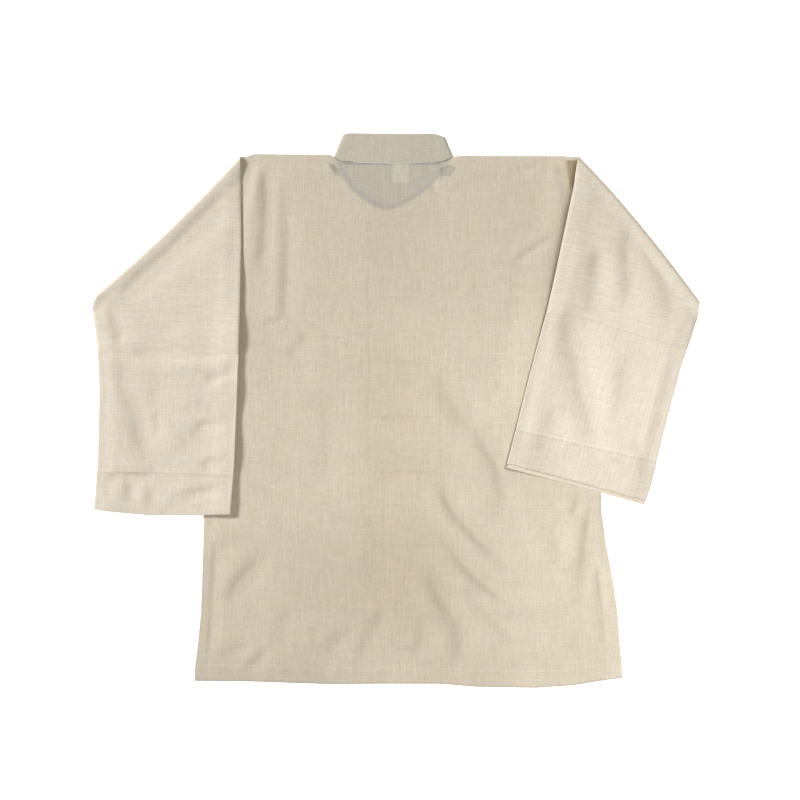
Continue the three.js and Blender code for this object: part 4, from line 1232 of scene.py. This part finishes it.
def dress(cloth, name, nodes, material):
    """Builds a piece of cloth, hides the solids that it stands for and gives its flat cut."""
    piece = cloth.build(name, bpy.context.scene.jacket_cloth.wall)
    piece.data.materials.append(material)
    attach(piece, "root")
    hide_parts(*nodes)
    print(f"{name}: cut {cloth.flat[0]:.3f} x {cloth.flat[1]:.3f} m, {cloth.area:.4f} m2, "
          f"{sum(len(face.vertices) - 2 for face in piece.data.polygons)} triangles")
    return piece


SEWN_LINES = {}  # rows of points on the built cloth, by piece, for the stitches


class JACKET_OT_back(bpy.types.Operator):
    """Make the back, with the back halves of both upper sleeves"""

    bl_idname = "jacket.back"
    bl_label = "Back"

    def execute(self, context):
        cloth, net = back_cloth()
        linen = context.scene.jacket_cloth
        finish = slub_linen("body_linen", linen.body_colour, linen.slub, 0.0, body_tones)
        dress(cloth, "back_cloth", ["back"], finish)
        columns = back_columns()
        hem = int(np.argmin(np.abs(back_rows() - HEM_B - STITCH_IN)))
        y = cloth.points[0].reshape(*net.shape, 3)[0, :, 1]
        vent = int(np.argmax(y < VENT_TOP))
        left = int(np.argmin(np.abs(columns - VENT_STRIP["left"] + STITCH_IN)))
        right = int(np.argmin(np.abs(columns - 1 + VENT_STRIP["right"] - STITCH_IN)))
        SEWN_LINES["back"] = [cloth.line(net[left:right + 1, hem]), cloth.line(net[left, vent:hem + 1]),
                              cloth.line(net[right, vent:hem + 1])]
        return {"FINISHED"}


BELOW_NECK = 60  # row of a front's net at which its centre's stitch row starts


class JACKET_OT_fronts(bpy.types.Operator):
    """Make both fronts, with the front halves of both upper sleeves"""

    bl_idname = "jacket.fronts"
    bl_label = "Fronts"

    def execute(self, context):
        linen = context.scene.jacket_cloth
        finish = slub_linen("front_linen", linen.sleeve_colour, linen.slub, 4.0)
        SEWN_LINES["fronts"] = []
        for name in SLEEVES:
            cloth, net = front_cloth(name)
            dress(cloth, f"front_{name}_cloth", [f"front_{name}"], finish)
            SEWN_LINES["fronts"] += [cloth.line(net[:, -3]), cloth.line(net[-2, BELOW_NECK:])]
        return {"FINISHED"}


class JACKET_OT_lower_sleeves(bpy.types.Operator):
    """Make both lower sleeves, from their joint seams to their cuffs"""

    bl_idname = "jacket.lower_sleeves"
    bl_label = "Lower sleeves"

    def execute(self, context):
        linen = context.scene.jacket_cloth
        finish = slub_linen("sleeve_linen", linen.sleeve_colour, linen.slub, 8.0)
        SEWN_LINES["sleeves"] = []
        for name in SLEEVES:
            cloth, stitch_row = lower_sleeve_cloth(name)
            dress(cloth, f"sleeve_{name}_cloth", [f"sleeve_{name}"], finish)
            SEWN_LINES["sleeves"].append(cloth.line(stitch_row))
        return {"FINISHED"}


class JACKET_OT_collar(bpy.types.Operator):
    """Make the stand collar"""

    bl_idname = "jacket.collar"
    bl_label = "Collar"

    def execute(self, context):
        linen = context.scene.jacket_cloth
        finish = slub_linen("collar_linen", linen.collar_colour, linen.slub, 12.0)
        dress(collar_cloth(), "collar_cloth", ["collar"], finish)
        return {"FINISHED"}


class JACKET_OT_stitches(bpy.types.Operator):
    """Sew the hems, the vents and the cuffs"""

    bl_idname = "jacket.stitches"
    bl_label = "Stitches"

    def execute(self, context):
        if len(SEWN_LINES) < 3:
            raise RuntimeError("the cloth is made before it is sewn")
        sewing = context.scene.jacket_sewing
        thread = sewing_thread(sewing.thread_colour)
        for name, lines in SEWN_LINES.items():
            sew(f"{name}_stitches", lines, sewing, thread)
        return {"FINISHED"}


FLOOR_REACH = 6.0
FLOOR_LEVEL = -0.0002
VIEW_MIDDLE = (0.00858, -0.35035)  # what the camera looks at, from the neck


class JACKET_OT_stage(bpy.types.Operator):
    """Make the floor, the lights and the camera"""

    bl_idname = "jacket.stage"
    bl_label = "Stage"

    def execute(self, context):
        stage = context.scene.jacket_stage
        scene = context.scene
        mesh = bpy.data.meshes.new("floor")
        corners = ((-1, -1), (1, -1), (1, 1), (-1, 1))
        corners = [(x * FLOOR_REACH, y * FLOOR_REACH, FLOOR_LEVEL) for x, y in corners]
        mesh.from_pydata(corners, [], [(0, 1, 2, 3)])
        floor = bpy.data.objects.new("floor", mesh)
        scene.collection.objects.link(floor)
        paper = Finish("white_paper")
        diffuse = paper.node("ShaderNodeBsdfDiffuse", {}, {"Color": (0.9, 0.9, 0.9, 1.0)})
        glow = paper.node("ShaderNodeEmission", {}, {"Color": (1.0, 1.0, 1.0, 1.0), "Strength": 0.75})
        both = paper.node("ShaderNodeAddShader", {}, {0: diffuse, 1: glow})
        paper.node("ShaderNodeOutputMaterial", {}, {"Surface": both})
        mesh.materials.append(paper.material)

        world = bpy.data.worlds.new("studio")
        world.use_nodes = True
        backdrop = world.node_tree.nodes["Background"]
        backdrop.inputs["Color"].default_value = (1.0, 0.955, 0.87, 1.0)
        backdrop.inputs["Strength"].default_value = stage.fill_level
        scene.world = world

        def lamp(name, place, aim, size, power, colour=(1.0, 1.0, 1.0)):
            light = bpy.data.lights.new(name, "AREA")
            light.size, light.energy, light.color = size, power, colour
            made = bpy.data.objects.new(name, light)
            made.location = place
            made.rotation_euler = (Vector(aim) - Vector(place)).to_track_quat("-Z", "Y").to_euler()
            scene.collection.objects.link(made)

        lamp("key", (-5.9, 2.2, 3.6), (0.0, -0.05, 0.0), 1.5, stage.key_power, (0.99, 1.0, 1.03))
        lamp("side", (0.55, -0.5, 1.1), (0.2, -0.2, 0.0), 0.6, stage.side_power)

        view = bpy.data.cameras.new("overhead")
        view.sensor_width = 36.0
        view.lens = view.sensor_width * stage.view_height / stage.view_width
        view.clip_end = 50.0
        camera = bpy.data.objects.new("overhead", view)
        camera.location = (NECK_X + VIEW_MIDDLE[0], NECK_Y + VIEW_MIDDLE[1], stage.view_height)
        scene.collection.objects.link(camera)
        scene.camera = camera
        scene.view_settings.view_transform = "Standard"
        return {"FINISHED"}


class JACKET_PT_panel(bpy.types.Panel):
    """The steps and settings of the jacket"""

    bl_label = "Folded jacket"
    bl_idname = "JACKET_PT_panel"
    bl_space_type = "VIEW_3D"
    bl_region_type = "UI"
    bl_category = "Jacket"

    def draw(self, context):
        for group, operators in STEPS:
            box = self.layout.box()
            settings = getattr(context.scene, group)
            for field in settings.__annotations__:
                box.prop(settings, field)
            for operator in operators:
                box.operator(operator.bl_idname)


STEPS = (
    ("jacket_cloth", (JACKET_OT_back, JACKET_OT_fronts, JACKET_OT_lower_sleeves, JACKET_OT_collar)),
    ("jacket_sewing", (JACKET_OT_stitches,)),
    ("jacket_stage", (JACKET_OT_stage,)),
)
GROUPS = {
    "jacket_cloth": JACKET_PG_cloth,
    "jacket_sewing": JACKET_PG_sewing,
    "jacket_stage": JACKET_PG_stage,
}
OPERATORS = [operator for _, operators in STEPS for operator in operators]
CLASSES = (*GROUPS.values(), *OPERATORS, JACKET_PT_panel)


def register():
    for cls in CLASSES:
        bpy.utils.register_class(cls)
    for name, group in GROUPS.items():
        setattr(bpy.types.Scene, name, PointerProperty(type=group))


def unregister():
    for name in GROUPS:
        delattr(bpy.types.Scene, name)
    for cls in reversed(CLASSES):
        bpy.utils.unregister_class(cls)


def main():
    register()
    bpy.ops.jacket.stage()
    bpy.ops.jacket.back()
    bpy.ops.jacket.fronts()
    bpy.ops.jacket.lower_sleeves()
    bpy.ops.jacket.collar()
    bpy.ops.jacket.stitches()


if __name__ == "__main__":
    main()
